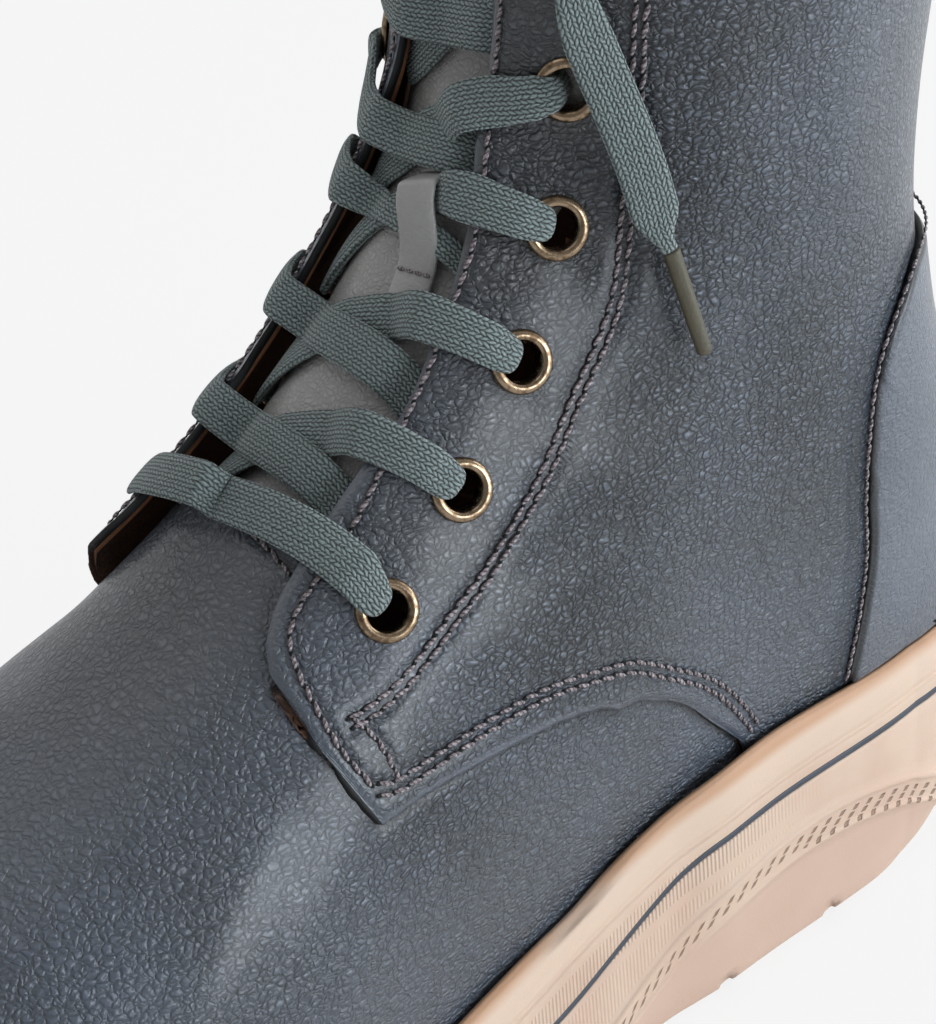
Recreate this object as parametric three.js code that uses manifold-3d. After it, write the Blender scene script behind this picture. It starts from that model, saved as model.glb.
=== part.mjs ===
// Lace-up ankle boot, left foot, women's EU 38: leather upper on a wedge unit sole.
// Millimetres, +X to the toe, +Y to the outer side of the foot, +Z up.
// The origin lies on the floor under the heel seat.
import * as THREE from "three";
import Module from "manifold-3d";

const wasm = await Module();
wasm.setup();

// Driving dimensions
const upperLength = 262;        // heel curve to toe tip, over the leather
const ballWidth = 88;           // widest place of the forefoot
const collarHeight = 200;       // front of the collar above the floor
const collarBackHeight = 184;   // back of the collar above the floor
const heelStack = 48.5;         // feather line above the floor at the heel
const ballStack = 30.6;         // the same under the ball
const toeStack = 38;            // the same at the toe tip
const leather = 2.2;            // quarters with their lining
const vampWall = 2;             // vamp with its lining
const seamStep = 1.2;           // quarters stand this much over the vamp
const lap = 4;                  // upper reaches this far down inside the sole's rim
const gap = 0.35;               // clearance between pieces that meet
const slack = 0.3;              // more of it where facets of two curved pieces differ

const eyeletCount = 6;          // on each side
const eyeletPitch = 20;
const eyeletHole = 3.75;        // radius of the hole in the leather
const eyeletBore = 3;          // radius of the bore
const eyeletFlange = 4.75;      // radius of the flange
const eyeletRise = 0.9;         // flange above the leather

const tongueWall = 2.2;
const tongueTop = 5;            // tongue above the collar
const tongueHalf = 27;          // half width of the tongue at the collar
const keeperWidth = 6.5;        // lace keeper on the tongue
const keeperLength = 17.5;
const keeperRise = 5.8;
const keeperWall = 1.2;

const laceWidth = 7.2;
const laceThick = 1.6;
const tagLength = 17;
const tagRadius = 1.35;

const counterWall = 1.4;
const pullWidth = 18;           // pull loop behind the collar
const pullWall = 1.8;
const pullFoot = 130;           // lower end of the pull loop above the floor
const pullRise = 6;             // how far the loop stands off the back

const insoleWall = 3;
const toeSpring = 14;           // lowest edge of the sole at the toe tip
const heelLift = 24;            // the same at the back of the heel
const flatFrom = -9;            // the sole touches the floor from here
const flatTo = 122;             // to here
const beadWidth = 3.4;          // rim bead round the upper
const beadHeight = 7.5;
const wallFlare = 0.4;          // side wall past the bead, halfway down
const stripeDrop = 11.2;        // pinstripe under the feather line, at the heel
const stripeSink = 5.3;         // and how much lower it runs ahead of the arch
const stripeWidth = 1.3;
const stripeDepth = 0.9;
const archTop = 28.6;           // arched band on the side wall, above the floor
const archBand = 6.5;           // its width
const archRelief = 0.6;
const treadDepth = 2.6;
const treadSlot = 2.4;
const treadPitch = 26.5;
const treadStart = 12.5;        // first slot, past the start of the flat

// Colours, roughness and metalness of the real materials
const finish = (color, roughness, metalness = 0) =>
  new THREE.MeshStandardMaterial({ color, roughness, metalness });
const blueLeather = () => finish("#4b5661", 0.45);
const greyLeather = () => finish("#5b5857", 0.55);
const laceBraid = () => finish("#3f5352", 0.85);
const brass = () => finish("#a58a62", 0.3, 1);
const tanSole = () => finish("#d9bfa8", 0.6);
const navyStripe = () => finish("#454c58", 0.5);
const lining = () => finish("#6a4a35", 0.8);

// Sections of the last. Each row is a rib that runs from the front line of the boot (ridge)
// over one side to the feather line of the sole, and from row 13 on to the line of the back.
// frontX, backX: shares of the upper's length. frontZ: share of the way from the ball's feather
// line to the collar. end: height of the lower end, above 0 the share of the rise from ball to
// toe, below 0 from ball to heel; from row 14 on the share of the way from heel to collar.
// wide, inner: half widths to the outer and inner side, endWide, endInner: the same at the
// rib's lower end, shift: sideways place of the ridge, all in hundredths of the ball width.
// at: where along the rib it is widest. crown: exponent of its upper quarter.
const ribs = [
  // frontX frontZ backX  end    wide inner endWide endInner shift  at  crown
  [0.809, 0.097, 0.809, 1.00, 0.0, 0.0, 0.0, 0.0, -9.0, 0.60, 2.1],
  [0.803, 0.134, 0.803, 0.92, 13.0, 13.0, 12.0, 12.0, -9.0, 0.62, 2.1],
  [0.784, 0.175, 0.784, 0.78, 24.5, 25.5, 23.3, 24.5, -8.5, 0.66, 2.1],
  [0.748, 0.212, 0.748, 0.59, 35.2, 37.0, 34.0, 35.8, -8.0, 0.70, 2.2],
  [0.687, 0.256, 0.687, 0.27, 43.7, 45.5, 42.6, 44.3, -5.7, 0.72, 2.2],
  [0.595, 0.303, 0.599, 0.00, 49.4, 50.0, 48.3, 48.9, -2.3, 0.72, 2.2],
  [0.500, 0.360, 0.511, -0.02, 50.5, 47.2, 49.4, 46.0, 0.0, 0.74, 2.2],
  [0.415, 0.430, 0.416, -0.10, 47.7, 41.5, 46.6, 39.2, 1.1, 0.76, 2.2],
  [0.342, 0.510, 0.317, -0.32, 43.1, 36.4, 42.0, 32.4, 1.1, 0.76, 2.2],
  [0.282, 0.594, 0.206, -0.70, 39.7, 34.7, 38.1, 30.1, 1.1, 0.72, 2.2],
  [0.239, 0.665, 0.084, -0.97, 38.5, 35.8, 36.5, 33.0, 0.6, 0.62, 2.2],
  [0.214, 0.714, -0.061, -1.00, 38.5, 36.9, 35.2, 34.5, 0.0, 0.52, 2.2],
  [0.203, 0.744, -0.154, -1.00, 38.5, 37.5, 25.0, 24.6, 0.0, 0.47, 2.2],
  [0.194, 0.770, -0.192, -1.00, 38.5, 38.1, 0.0, 0.0, 0.0, 0.44, 2.2],
  [0.184, 0.800, -0.188, 0.10, 38.6, 38.6, 0.0, 0.0, 0.0, 0.42, 2.2],
  [0.177, 0.832, -0.168, 0.245, 39.1, 39.2, 0.0, 0.0, 0.0, 0.42, 2.2],
  [0.173, 0.864, -0.145, 0.385, 39.7, 39.8, 0.0, 0.0, 0.0, 0.43, 2.2],
  [0.170, 0.898, -0.130, 0.54, 40.3, 40.3, 0.0, 0.0, 0.0, 0.44, 2.2],
  [0.168, 0.932, -0.130, 0.695, 40.9, 40.9, 0.0, 0.0, 0.0, 0.45, 2.2],
  [0.166, 0.966, -0.140, 0.85, 41.5, 41.5, 0.0, 0.0, 0.0, 0.46, 2.2],
  [0.166, 1.000, -0.150, 1.00, 42.0, 42.0, 0.0, 0.0, 0.0, 0.46, 2.2],
];
const heelRow = 13;             // the ribs end at the back line from this row on
const heelArcRow = 11;          // the heel's round begins here
const lastRow = ribs.length - 1;
const heelPower = 2.1;

const clamp = (x, low, high) => Math.min(high, Math.max(low, x));
const mix = (a, b, t) => a + (b - a) * t;
const smooth = (t) => { const s = clamp(t, 0, 1); return s * s * (3 - 2 * s); };

// A value between the rows of a table of pairs, straight from row to row
function between(pairs, x) {
  if (x <= pairs[0][0]) return pairs[0][1];
  for (let i = 1; i < pairs.length; i++) {
    if (x <= pairs[i][0]) {
      const t = (x - pairs[i - 1][0]) / (pairs[i][0] - pairs[i - 1][0]);
      return mix(pairs[i - 1][1], pairs[i][1], t);
    }
  }
  return pairs[pairs.length - 1][1];
}

// One row of the table in millimetres
function ribSizes(row) {
  const [frontX, frontZ, backX, end, wide, inner, endWide, endInner, shift, at, crown] = row;
  const across = ballWidth / 100;
  const low = ribs.indexOf(row) <= heelRow;
  const rise = end > 0 ? toeStack - ballStack : heelStack - ballStack;
  const endZ = low ? ballStack + Math.abs(end) * rise
    : heelStack + end * (collarBackHeight - heelStack);
  return [frontX * upperLength, mix(ballStack, collarHeight, frontZ), backX * upperLength, endZ,
    wide * across, inner * across, endWide * across, endInner * across, shift * across, at, crown];
}
const ribTable = ribs.map(ribSizes);

// The rib at any place u between the rows, on smooth curves through them
function ribAt(u) {
  const i = clamp(Math.floor(u), 0, lastRow - 1);
  const t = u - i;
  const row = (k) => ribTable[k];
  const a = row(i);
  const b = row(i + 1);
  const before = i > 0 ? row(i - 1) : a.map((x, k) => 2 * x - b[k]);
  const after = i < lastRow - 1 ? row(i + 2) : b.map((x, k) => 2 * x - a[k]);
  const rib = a.map((x, k) => 0.5 * (2 * x + (b[k] - before[k]) * t
    + (2 * before[k] - 5 * x + 4 * b[k] - after[k]) * t * t
    + (3 * x - before[k] - 3 * b[k] + after[k]) * t * t * t));
  if (u > heelArcRow && u < heelRow) {
    rib[3] = ribTable[heelArcRow][3];
    const turn = (u - heelArcRow) / (heelRow - heelArcRow) * Math.PI / 2;
    const start = ribTable[heelArcRow];
    rib[2] = mix(start[2], ribTable[heelRow][2], Math.sin(turn));
    rib[6] = start[6] * Math.cos(turn) ** 0.95;
    rib[7] = start[7] * Math.cos(turn) ** 0.95;
  }
  if (u >= heelRow) rib[6] = rib[7] = 0;
  return rib;
}

// A point of the last: u along the boot in rows, v from -1 (inner side) over the ridge to 1
function lastPoint(u, v) {
  const [frontX, frontZ, backX, endZ, wide, inner, endWide, endInner, shift, at, crown] = ribAt(u);
  const half = Math.abs(v);
  const width = Math.max(v >= 0 ? wide : inner, 1e-6);
  const share = clamp((v >= 0 ? endWide : endInner) / width, 0, 1);
  let along;
  let side;
  if (half < 0.5) {
    const turn = half * Math.PI;
    along = at * (1 - Math.cos(turn) ** (2 / crown));
    side = width * Math.sin(turn) ** (2 / crown);
  } else {
    const full = Math.max(Math.acos(share ** (heelPower / 2)), 1e-3);
    const turn = clamp(2 * half - 1, 0, 1) * full;
    along = at + (1 - at) * (Math.sin(turn) / Math.sin(full)) ** (2 / heelPower);
    side = width * Math.max(Math.cos(turn), 0) ** (2 / heelPower);
  }
  return new THREE.Vector3(mix(frontX, backX, along), shift + (v >= 0 ? side : -side),
    mix(frontZ, endZ, along));
}

// The outward direction of the last's surface
function sideNormal(u, v) {
  const du = 0.03;
  const dv = 0.01;
  const u0 = clamp(u, du, lastRow);
  const v0 = v >= 0 ? clamp(v, dv, 1 - dv) : clamp(v, dv - 1, -dv);
  const alongU = lastPoint(u0 + du, v0).sub(lastPoint(u0 - du, v0));
  const alongV = lastPoint(u0, v0 + dv).sub(lastPoint(u0, v0 - dv));
  return alongU.cross(alongV).normalize().negate();
}
function lastNormal(u, v) {
  const ridge = Math.abs(v) < 0.01;
  const seam = u < 0.03 || (Math.abs(v) > 0.99 && u >= heelRow);
  if (!ridge && !seam) return sideNormal(u, v);
  const near = ridge ? 0.01 : Math.abs(v);
  return sideNormal(u, near).add(sideNormal(u, -near)).normalize();
}
const skin = (u, v, off) => lastPoint(u, v).addScaledVector(lastNormal(u, v), off);

// The place v on rib u at an arc distance from the ridge
function arcToV(u, distance) {
  const sign = Math.sign(distance) || 1;
  const target = Math.abs(distance);
  let run = 0;
  let old = lastPoint(u, 0);
  const steps = 80;
  for (let k = 1; k <= steps; k++) {
    const next = lastPoint(u, sign * k / steps);
    const step = next.distanceTo(old);
    if (run + step >= target) return sign * (k - 1 + (target - run) / step) / steps;
    run += step;
    old = next;
  }
  return sign;
}

// A closed mesh from points and triangles, as a solid and as a geometry
function toSolid(points, triangles) {
  const vertProperties = new Float32Array(points.flatMap((p) => [p.x, p.y, p.z]));
  const triVerts = new Uint32Array(triangles.flat());
  return new wasm.Manifold(new wasm.Mesh({ numProp: 3, vertProperties, triVerts }));
}
// The largest of the bodies that a cut leaves, without its crumbs
function mainBody(solid) {
  return solid.decompose().sort((a, b) => b.volume() - a.volume())[0];
}
function toGeometry(solid) {
  const { vertProperties, triVerts } = solid.getMesh();
  const geometry = new THREE.BufferGeometry();
  geometry.setAttribute("position", new THREE.BufferAttribute(new Float32Array(vertProperties), 3));
  geometry.setIndex(new THREE.BufferAttribute(new Uint32Array(triVerts), 1));
  geometry.computeVertexNormals();
  return geometry;
}

// A sheet of quads with an outer and an inner point at each corner, closed along its edges.
// A corner is named by a key, so that corners that coincide share one name.
class Sheet {
  constructor() {
    this.index = new Map();
    this.outer = [];
    this.inner = [];
    this.faces = [];
  }
  corner(key, outer, inner) {
    if (!this.index.has(key)) {
      this.index.set(key, this.outer.length);
      this.outer.push(outer);
      this.inner.push(inner);
    }
    return this.index.get(key);
  }
  quad(a, b, c, d) {
    if (a !== b && b !== c && c !== a) this.faces.push([a, b, c]);
    if (a !== c && c !== d && d !== a) this.faces.push([a, c, d]);
  }
  solid() {
    const count = this.outer.length;
    const edges = new Set();
    for (const [a, b, c] of this.faces) {
      for (const [p, q] of [[a, b], [b, c], [c, a]]) edges.add(`${p},${q}`);
    }
    const triangles = [];
    for (const [a, b, c] of this.faces) {
      triangles.push([a, b, c], [a + count, c + count, b + count]);
      for (const [p, q] of [[a, b], [b, c], [c, a]]) {
        if (edges.has(`${q},${p}`)) continue;
        triangles.push([q, p, p + count], [q, p + count, q + count]);
      }
    }
    const solid = toSolid([...this.outer, ...this.inner], triangles);
    return solid.volume() < 0 ? toSolid([...this.outer, ...this.inner],
      triangles.map(([a, b, c]) => [a, c, b])) : solid;
  }
}

// Seams of the upper
// Arch seam: the quarters end here on the vamp. Pairs of row and v.
const archSeam = [[7.2, 0.21], [7.3, 0.29], [7.45, 0.36], [7.93, 0.39], [8.43, 0.425], [8.9, 0.46],
  [9.3, 0.5], [9.6, 0.575], [9.8, 0.65], [9.92, 0.76], [10, 1]];
// Throat edge of the flaps: row and arc distance from the ridge
const throatEdge = [[7.2, 23], [7.3, 19.5], [7.6, 16.6], [8.1, 15.8], [8.5, 16], [8.9, 16.6],
  [9.7, 15], [11, 12.4], [13.8, 9.2], [20, 9.5]];
// Eyelet rows: row and arc distance from the ridge
const eyeletLine = [[7, 32], [9, 29.6], [12, 23.8], [16, 20], [20, 20]];
const firstEyeletRow = 8.08;
// The vamp's hidden edge under the quarters: v and row
const vampEnd = [[0.36, 7.9], [0.4, 8.25], [0.425, 8.7], [0.46, 9.2], [0.5, 9.6], [0.58, 9.9],
  [0.65, 10.1], [0.76, 10.25], [1, 10.3]];
// The flaps stand off the vamp at the throat: row, lift outside and inside
const liftOuter = [[7.2, 1.6], [8.5, 2.4], [11, 2.2], [20, 2]];
const liftInner = [[7.2, 4.6], [8.5, 4], [11, 2.6], [20, 2]];
const liftReach = 0.17;

const flapEdge = (u, side) => arcToV(u, side * between(throatEdge, u));
function flapLift(u, v) {
  const side = v >= 0 ? 1 : -1;
  const away = (Math.abs(v) - Math.abs(flapEdge(u, side))) / liftReach;
  return between(side > 0 ? liftOuter : liftInner, u) * (1 - smooth(away));
}
const quarterOut = (u, v) => seamStep + flapLift(u, v);

// Vamp: from the toe to its hidden edge under the quarters
function vampSolid() {
  const rows = 15;
  const columns = 9;
  const sheet = new Sheet();
  const corner = (i, j) => {
    const level = Math.min(Math.abs(j), columns);
    const v = Math.sign(j) * level / columns;
    const u = between(vampEnd, Math.abs(v)) * i / rows;
    const drop = Math.abs(j) > columns ? lap : 0;
    const outer = skin(u, v, 0);
    const inner = skin(u, v, -vampWall);
    if (level === columns) inner.z = outer.z;
    outer.z -= drop;
    inner.z -= drop;
    return sheet.corner(i === 0 ? `0,${Math.abs(j)}` : `${i},${j}`, outer, inner);
  };
  for (let i = 0; i < rows; i++) {
    for (let j = -columns - 1; j <= columns; j++) {
      sheet.quad(corner(i, j), corner(i + 1, j), corner(i + 1, j + 1), corner(i, j + 1));
    }
  }
  return sheet.solid();
}

// Quarters: both sides and the back in one wall, open at the throat and the collar
const quarterRows = [7.2, 7.3, 7.45, 7.7, 8.1, 8.5, 8.9, 9.3, 9.6, 9.8, 9.92, 10, 10.5, 11, 11.4,
  11.8, 12.2, 12.6, 13, 13.2, 13.9, 14.7, 15.5, 16.2, 16.7, 17.7, 18.8, 20];
function quarterSolid(extra = 0) {
  const columns = 9;
  const sheet = new Sheet();
  const corner = (i, j, side) => {
    const u = quarterRows[i];
    const start = Math.abs(flapEdge(u, side));
    const t = Math.min(j / columns, 1);
    const end = u < 10 ? Math.max(between(archSeam, u), start + 0.02) : 1;
    const v = side * mix(start, end, t ** 1.25);
    const off = quarterOut(u, v);
    const outer = skin(u, v, off + extra);
    const inner = skin(u, v, off - leather);
    if (Math.abs(v) > 0.999 && u <= heelRow) inner.z = outer.z;
    const drop = j > columns ? lap : 0;
    outer.z -= drop;
    inner.z -= drop;
    const shared = j >= columns && u >= heelRow;
    return sheet.corner(shared ? `${i},${j}` : `${i},${j * side},${side}`, outer, inner);
  };
  for (const side of [1, -1]) {
    for (let i = 0; i < quarterRows.length - 1; i++) {
      const skirt = quarterRows[i] >= 10 && quarterRows[i] < heelRow ? 1 : 0;
      for (let j = 0; j < columns + skirt; j++) {
        const ring = [corner(i, j, side), corner(i + 1, j, side), corner(i + 1, j + 1, side),
          corner(i, j + 1, side)];
        sheet.quad(...(side > 0 ? ring : ring.reverse()));
      }
    }
  }
  return sheet.solid();
}

// Places of the eyelets, by their pitch along the row
function eyeletPlaces(side) {
  const places = [];
  const step = 0.05;
  let run = 0;
  let old = null;
  for (let u = firstEyeletRow; places.length < eyeletCount && u < lastRow; u += step) {
    const v = arcToV(u, side * between(eyeletLine, u));
    const point = skin(u, v, quarterOut(u, v));
    if (old) run += point.distanceTo(old);
    old = point;
    if (run >= places.length * eyeletPitch) {
      places.push({ u, v, side, point, normal: flapNormal(u, v) });
    }
  }
  return places;
}
// The flap's own outward direction, with its lift
function flapNormal(u, v) {
  const d = 0.02;
  const at = (a, b) => skin(a, b, quarterOut(a, b));
  const alongU = at(u + d, v).sub(at(u - d, v));
  const alongV = at(u, v + d).sub(at(u, v - d));
  return alongU.cross(alongV).normalize().negate();
}
const outerEyelets = eyeletPlaces(1);
const innerEyelets = eyeletPlaces(-1);

// A lathe geometry as a solid, turned from +Y to a direction at a place
function placed(geometry, point, normal) {
  const turn = new THREE.Quaternion().setFromUnitVectors(new THREE.Vector3(0, 1, 0), normal);
  geometry.applyQuaternion(turn);
  geometry.translate(point.x, point.y, point.z);
  return geometry;
}
const eyeletSides = 8;
function ringGeometry(profile) {
  const points = [...profile, profile[0]].map(([r, y]) => new THREE.Vector2(r, y));
  return new THREE.LatheGeometry(points, eyeletSides);
}
function welded(geometry) {
  const position = geometry.getAttribute("position");
  const names = new Map();
  const points = [];
  const ids = [];
  for (let i = 0; i < position.count; i++) {
    const p = new THREE.Vector3().fromBufferAttribute(position, i);
    const key = [p.x, p.y, p.z].map((x) => Math.round(x * 1e4)).join();
    if (!names.has(key)) {
      names.set(key, points.length);
      points.push(p);
    }
    ids.push(names.get(key));
  }
  const index = geometry.index ? [...geometry.index.array] : ids.map((_, i) => i);
  const triangles = [];
  for (let i = 0; i < index.length; i += 3) {
    const [a, b, c] = [ids[index[i]], ids[index[i + 1]], ids[index[i + 2]]];
    if (a !== b && b !== c && c !== a) triangles.push([a, b, c]);
  }
  const solid = toSolid(points, triangles);
  return solid.volume() < 0 ? toSolid(points, triangles.map(([a, b, c]) => [a, c, b])) : solid;
}

function upperSolid() {
  let upper = vampSolid().add(quarterSolid());
  for (const { point, normal } of [...outerEyelets, ...innerEyelets]) {
    const punch = new THREE.CylinderGeometry(eyeletHole, eyeletHole, 3 * leather, eyeletSides);
    upper = upper.subtract(welded(placed(punch, point, normal)));
  }
  return mainBody(upper);
}

function eyeletSolid({ point, normal }) {
  const barrel = eyeletHole - gap;
  const profile = [[eyeletBore, -leather], [barrel, -leather], [barrel, gap],
    [eyeletFlange, gap], [mix(barrel, eyeletFlange, 0.5), gap + eyeletRise],
    [eyeletBore, gap + eyeletRise * 0.3]];
  return welded(placed(ringGeometry(profile), point, normal));
}

// Tongue: sewn under the vamp's edge, between the flaps and the foot
const tongueFrom = 7.7;
const tongueUnder = 8.02;
function tongueOut(u) {
  const under = -vampWall - gap - 2 * slack;
  const free = seamStep - leather - gap - slack;
  return mix(under, free, smooth((u - tongueUnder) / 0.35));
}
function tongueHalfWidth(u) {
  return mix(tongueHalf * 0.72, tongueHalf, smooth((u - tongueFrom) / 8));
}
function tongueSolid() {
  const rows = [tongueFrom, 7.85, 8, 8.15, 8.4, 8.8, 9.3, 10, 10.8, 11.7, 13, 15, 17.5, 20];
  const columns = 8;
  const sheet = new Sheet();
  const corner = (i, j) => {
    const last = i === rows.length;
    const u = last ? lastRow : rows[i];
    const v = arcToV(u, tongueHalfWidth(u) * (2 * j / columns - 1));
    const outer = skin(u, v, tongueOut(u));
    const inner = skin(u, v, tongueOut(u) - tongueWall);
    if (last) {
      const rise = tongueTop * (1 - 0.8 * Math.abs(2 * j / columns - 1) ** 3);
      outer.z += rise;
      inner.z += rise;
    }
    return sheet.corner(`${i},${j}`, outer, inner);
  };
  for (let i = 0; i < rows.length; i++) {
    for (let j = 0; j < columns; j++) {
      sheet.quad(corner(i, j), corner(i + 1, j), corner(i + 1, j + 1), corner(i, j + 1));
    }
  }
  return sheet.solid();
}

// A strap of even width along a row of frames. Each frame has its middle, its width
// direction and its thickness direction, and may be narrower than the others.
function strapSolid(frames, width, thick) {
  const points = [];
  const triangles = [];
  const section = [[-0.5, 0], [-0.42, -0.5], [0.42, -0.5], [0.5, 0], [0.42, 0.5], [-0.42, 0.5]];
  const sides = section.length;
  for (const { middle, across, up, narrow = 1 } of frames) {
    for (const [a, b] of section) {
      points.push(middle.clone().addScaledVector(across, a * width * narrow)
        .addScaledVector(up, b * thick));
    }
  }
  for (let i = 0; i < frames.length - 1; i++) {
    for (let k = 0; k < sides; k++) {
      const n = (k + 1) % sides;
      const a = i * sides;
      const b = a + sides;
      triangles.push([a + k, a + n, b + n], [a + k, b + n, b + k]);
    }
  }
  const end = (frames.length - 1) * sides;
  for (let k = 1; k < sides - 1; k++) {
    triangles.push([0, k + 1, k], [end, end + k, end + k + 1]);
  }
  const solid = toSolid(points, triangles);
  return solid.volume() < 0 ? toSolid(points, triangles.map(([a, b, c]) => [a, c, b])) : solid;
}
// Frames along a path of middles, each with the surface's outward direction
function pathFrames(path) {
  return path.map(({ middle, up, narrow }, i) => {
    const next = path[Math.min(i + 1, path.length - 1)].middle;
    const before = path[Math.max(i - 1, 0)].middle;
    const along = next.clone().sub(before).normalize();
    const across = along.clone().cross(up).normalize();
    return { middle, across, up: across.clone().cross(along).normalize(), narrow };
  });
}

// Lace keeper: a strap whose two ends lie on the tongue, with room for the lace beneath
const keeperRow = 10.58;
const keeperArc = 5.6;          // from the ridge to its middle
const keeperSkew = 1.8;         // its lower end lies this much further out
function keeperSolid() {
  const steps = 9;
  const path = [];
  const centre = lastPoint(keeperRow, arcToV(keeperRow, keeperArc));
  const ahead = lastPoint(keeperRow + 0.1, arcToV(keeperRow + 0.1, keeperArc));
  const rowLength = ahead.distanceTo(centre) * 10;
  for (let i = 0; i <= steps; i++) {
    const t = 2 * i / steps - 1;
    const u = keeperRow + t * keeperLength / 2 / rowLength;
    const v = arcToV(u, keeperArc - t * keeperSkew);
    const lift = keeperRise * (1 - smooth((Math.abs(t) - 0.6) / 0.32));
    const middle = skin(u, v, tongueOut(u) + gap + keeperWall / 2 + lift);
    path.push({ middle, up: lastNormal(u, v) });
  }
  return strapSolid(pathFrames(path), keeperWidth, keeperWall);
}

// Heel counter: laid over the quarters, its front edge in pairs of row and v
const counterEdge = [[10.8, 0.965], [10.98, 0.84], [11.33, 0.73], [12.05, 0.625], [12.83, 0.585],
  [13.9, 0.585], [14.73, 0.605], [15.58, 0.655], [16.15, 0.72], [16.55, 0.82], [16.7, 0.92]];
const counterRows = [11, 11.4, 11.8, 12.2, 12.6, 13, 13.2, 13.9, 14.7, 15.5, 16.2, 16.7];
// The rim stands this high round the leather
const beadTop = 1;
function counterSolid() {
  const columns = 7;
  const sheet = new Sheet();
  const under = seamStep + gap;
  const rimTop = heelStack + beadTop + gap + slack;
  const lowest = (u, side) => {
    let low = 0.5;
    let high = 1;
    if (skin(u, side, under + counterWall).z >= rimTop && u > heelRow) return 1;
    for (let k = 0; k < 24; k++) {
      const middle = (low + high) / 2;
      if (skin(u, side * middle, under + counterWall).z > rimTop) low = middle;
      else high = middle;
    }
    return low;
  };
  const corner = (i, j, side) => {
    const u = counterRows[i];
    const end = lowest(u, side);
    const start = Math.min(between(counterEdge, u), end - 0.02);
    const v = side * mix(start, end, j / columns);
    const shared = j === columns && end === 1;
    const outer = skin(u, v, under + counterWall);
    const inner = skin(u, v, under - leather / 2);
    if (j === columns && end < 1) inner.z = outer.z;
    return sheet.corner(shared ? `${i}` : `${i},${j},${side}`, outer, inner);
  };
  for (const side of [1, -1]) {
    for (let i = 0; i < counterRows.length - 1; i++) {
      for (let j = 0; j < columns; j++) {
        const ring = [corner(i, j, side), corner(i + 1, j, side), corner(i + 1, j + 1, side),
          corner(i, j + 1, side)];
        sheet.quad(...(side > 0 ? ring : ring.reverse()));
      }
    }
  }
  return mainBody(sheet.solid().subtract(quarterSolid(gap)).subtract(quarterSolid()));
}

// Pull loop: a strap behind the collar, both ends on the back
function pullSolid() {
  const steps = 12;
  const back = (z) => {
    let low = heelRow;
    let high = lastRow;
    for (let k = 0; k < 30; k++) {
      const middle = (low + high) / 2;
      if (lastPoint(middle, 1).z < z) low = middle;
      else high = middle;
    }
    return (low + high) / 2;
  };
  const path = [];
  for (let i = 0; i <= steps; i++) {
    const t = i / steps;
    const z = mix(pullFoot, collarBackHeight - 3, t);
    const u = back(z);
    const lift = pullRise * smooth(t / 0.45) * smooth((1 - t) / 0.3);
    const seat = seamStep + gap + pullWall / 2;
    path.push({ middle: skin(u, 1, seat + lift), up: lastNormal(u, 1) });
  }
  return strapSolid(pathFrames(path), pullWidth, pullWall);
}

// Outline of the feather line with its outward direction in plan, once round the foot
const outlineRows = [0, 0.35, 0.7, 1, 1.4, 1.8, 2.3, 3, 3.6, 4.2, 5, 5.6, 6.2, 7, 7.5, 8,
  8.5, 9, 9.35, 9.65, 10, 10.5, 10.8, 11, 11.25, 11.5, 11.75, 12, 12.25, 12.5, 12.75, 13];
function outlineRing() {
  const outer = outlineRows.map((u) => ({ u, v: 1 }));
  const inner = outlineRows.slice(1, -1).reverse().map((u) => ({ u, v: -1 }));
  const ring = [...outer, ...inner].map(({ u, v }) => ({ u, v, point: lastPoint(u, v) }));
  return ring.map((place, i) => {
    const before = ring[(i + ring.length - 1) % ring.length].point;
    const next = ring[(i + 1) % ring.length].point;
    const along = next.clone().sub(before).setZ(0).normalize();
    return { ...place, out: new THREE.Vector3(-along.y, along.x, 0) };
  });
}
const ring = outlineRing();
const turnOut = ring[5].out.y < 0 ? -1 : 1;
ring.forEach((place) => place.out.multiplyScalar(turnOut));

// Lowest height of the sole at a place along it
function soleBottom(x) {
  const toe = ribTable[0][0] + beadWidth;
  const heel = ribTable[heelRow][2] - beadWidth;
  if (x > flatTo) return toeSpring * ((x - flatTo) / (toe - flatTo)) ** 1.7;
  if (x < flatFrom) return heelLift * Math.min((flatFrom - x) / (flatFrom - heel), 1) ** 1.6;
  return 0;
}
// How far the rim's inner face stands out from the last
function rimInside(u) {
  return gap + 0.1 + seamStep * smooth((u - 9.3) / 0.5);
}
// Top of the arched band on the side wall
const archMiddle = 0.038;
const archFront = 0.26;
const archBack = 0.212;
function archHeight(x) {
  const share = x / upperLength - archMiddle;
  const reach = share / (share > 0 ? archFront : archBack);
  return archTop * (1 - reach * reach);
}

// The rim's top stands higher at the arch and lower just ahead of it
const archRise = { at: 22, reach: 34, height: 1.4 };
const waistDip = { at: 65, reach: 16, height: -1.6 };
function rimRise(x) {
  const swell = ({ at, reach, height }) => height * smooth(1 - Math.abs(x - at) / reach);
  return beadTop + swell(archRise) + swell(waistDip);
}

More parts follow.
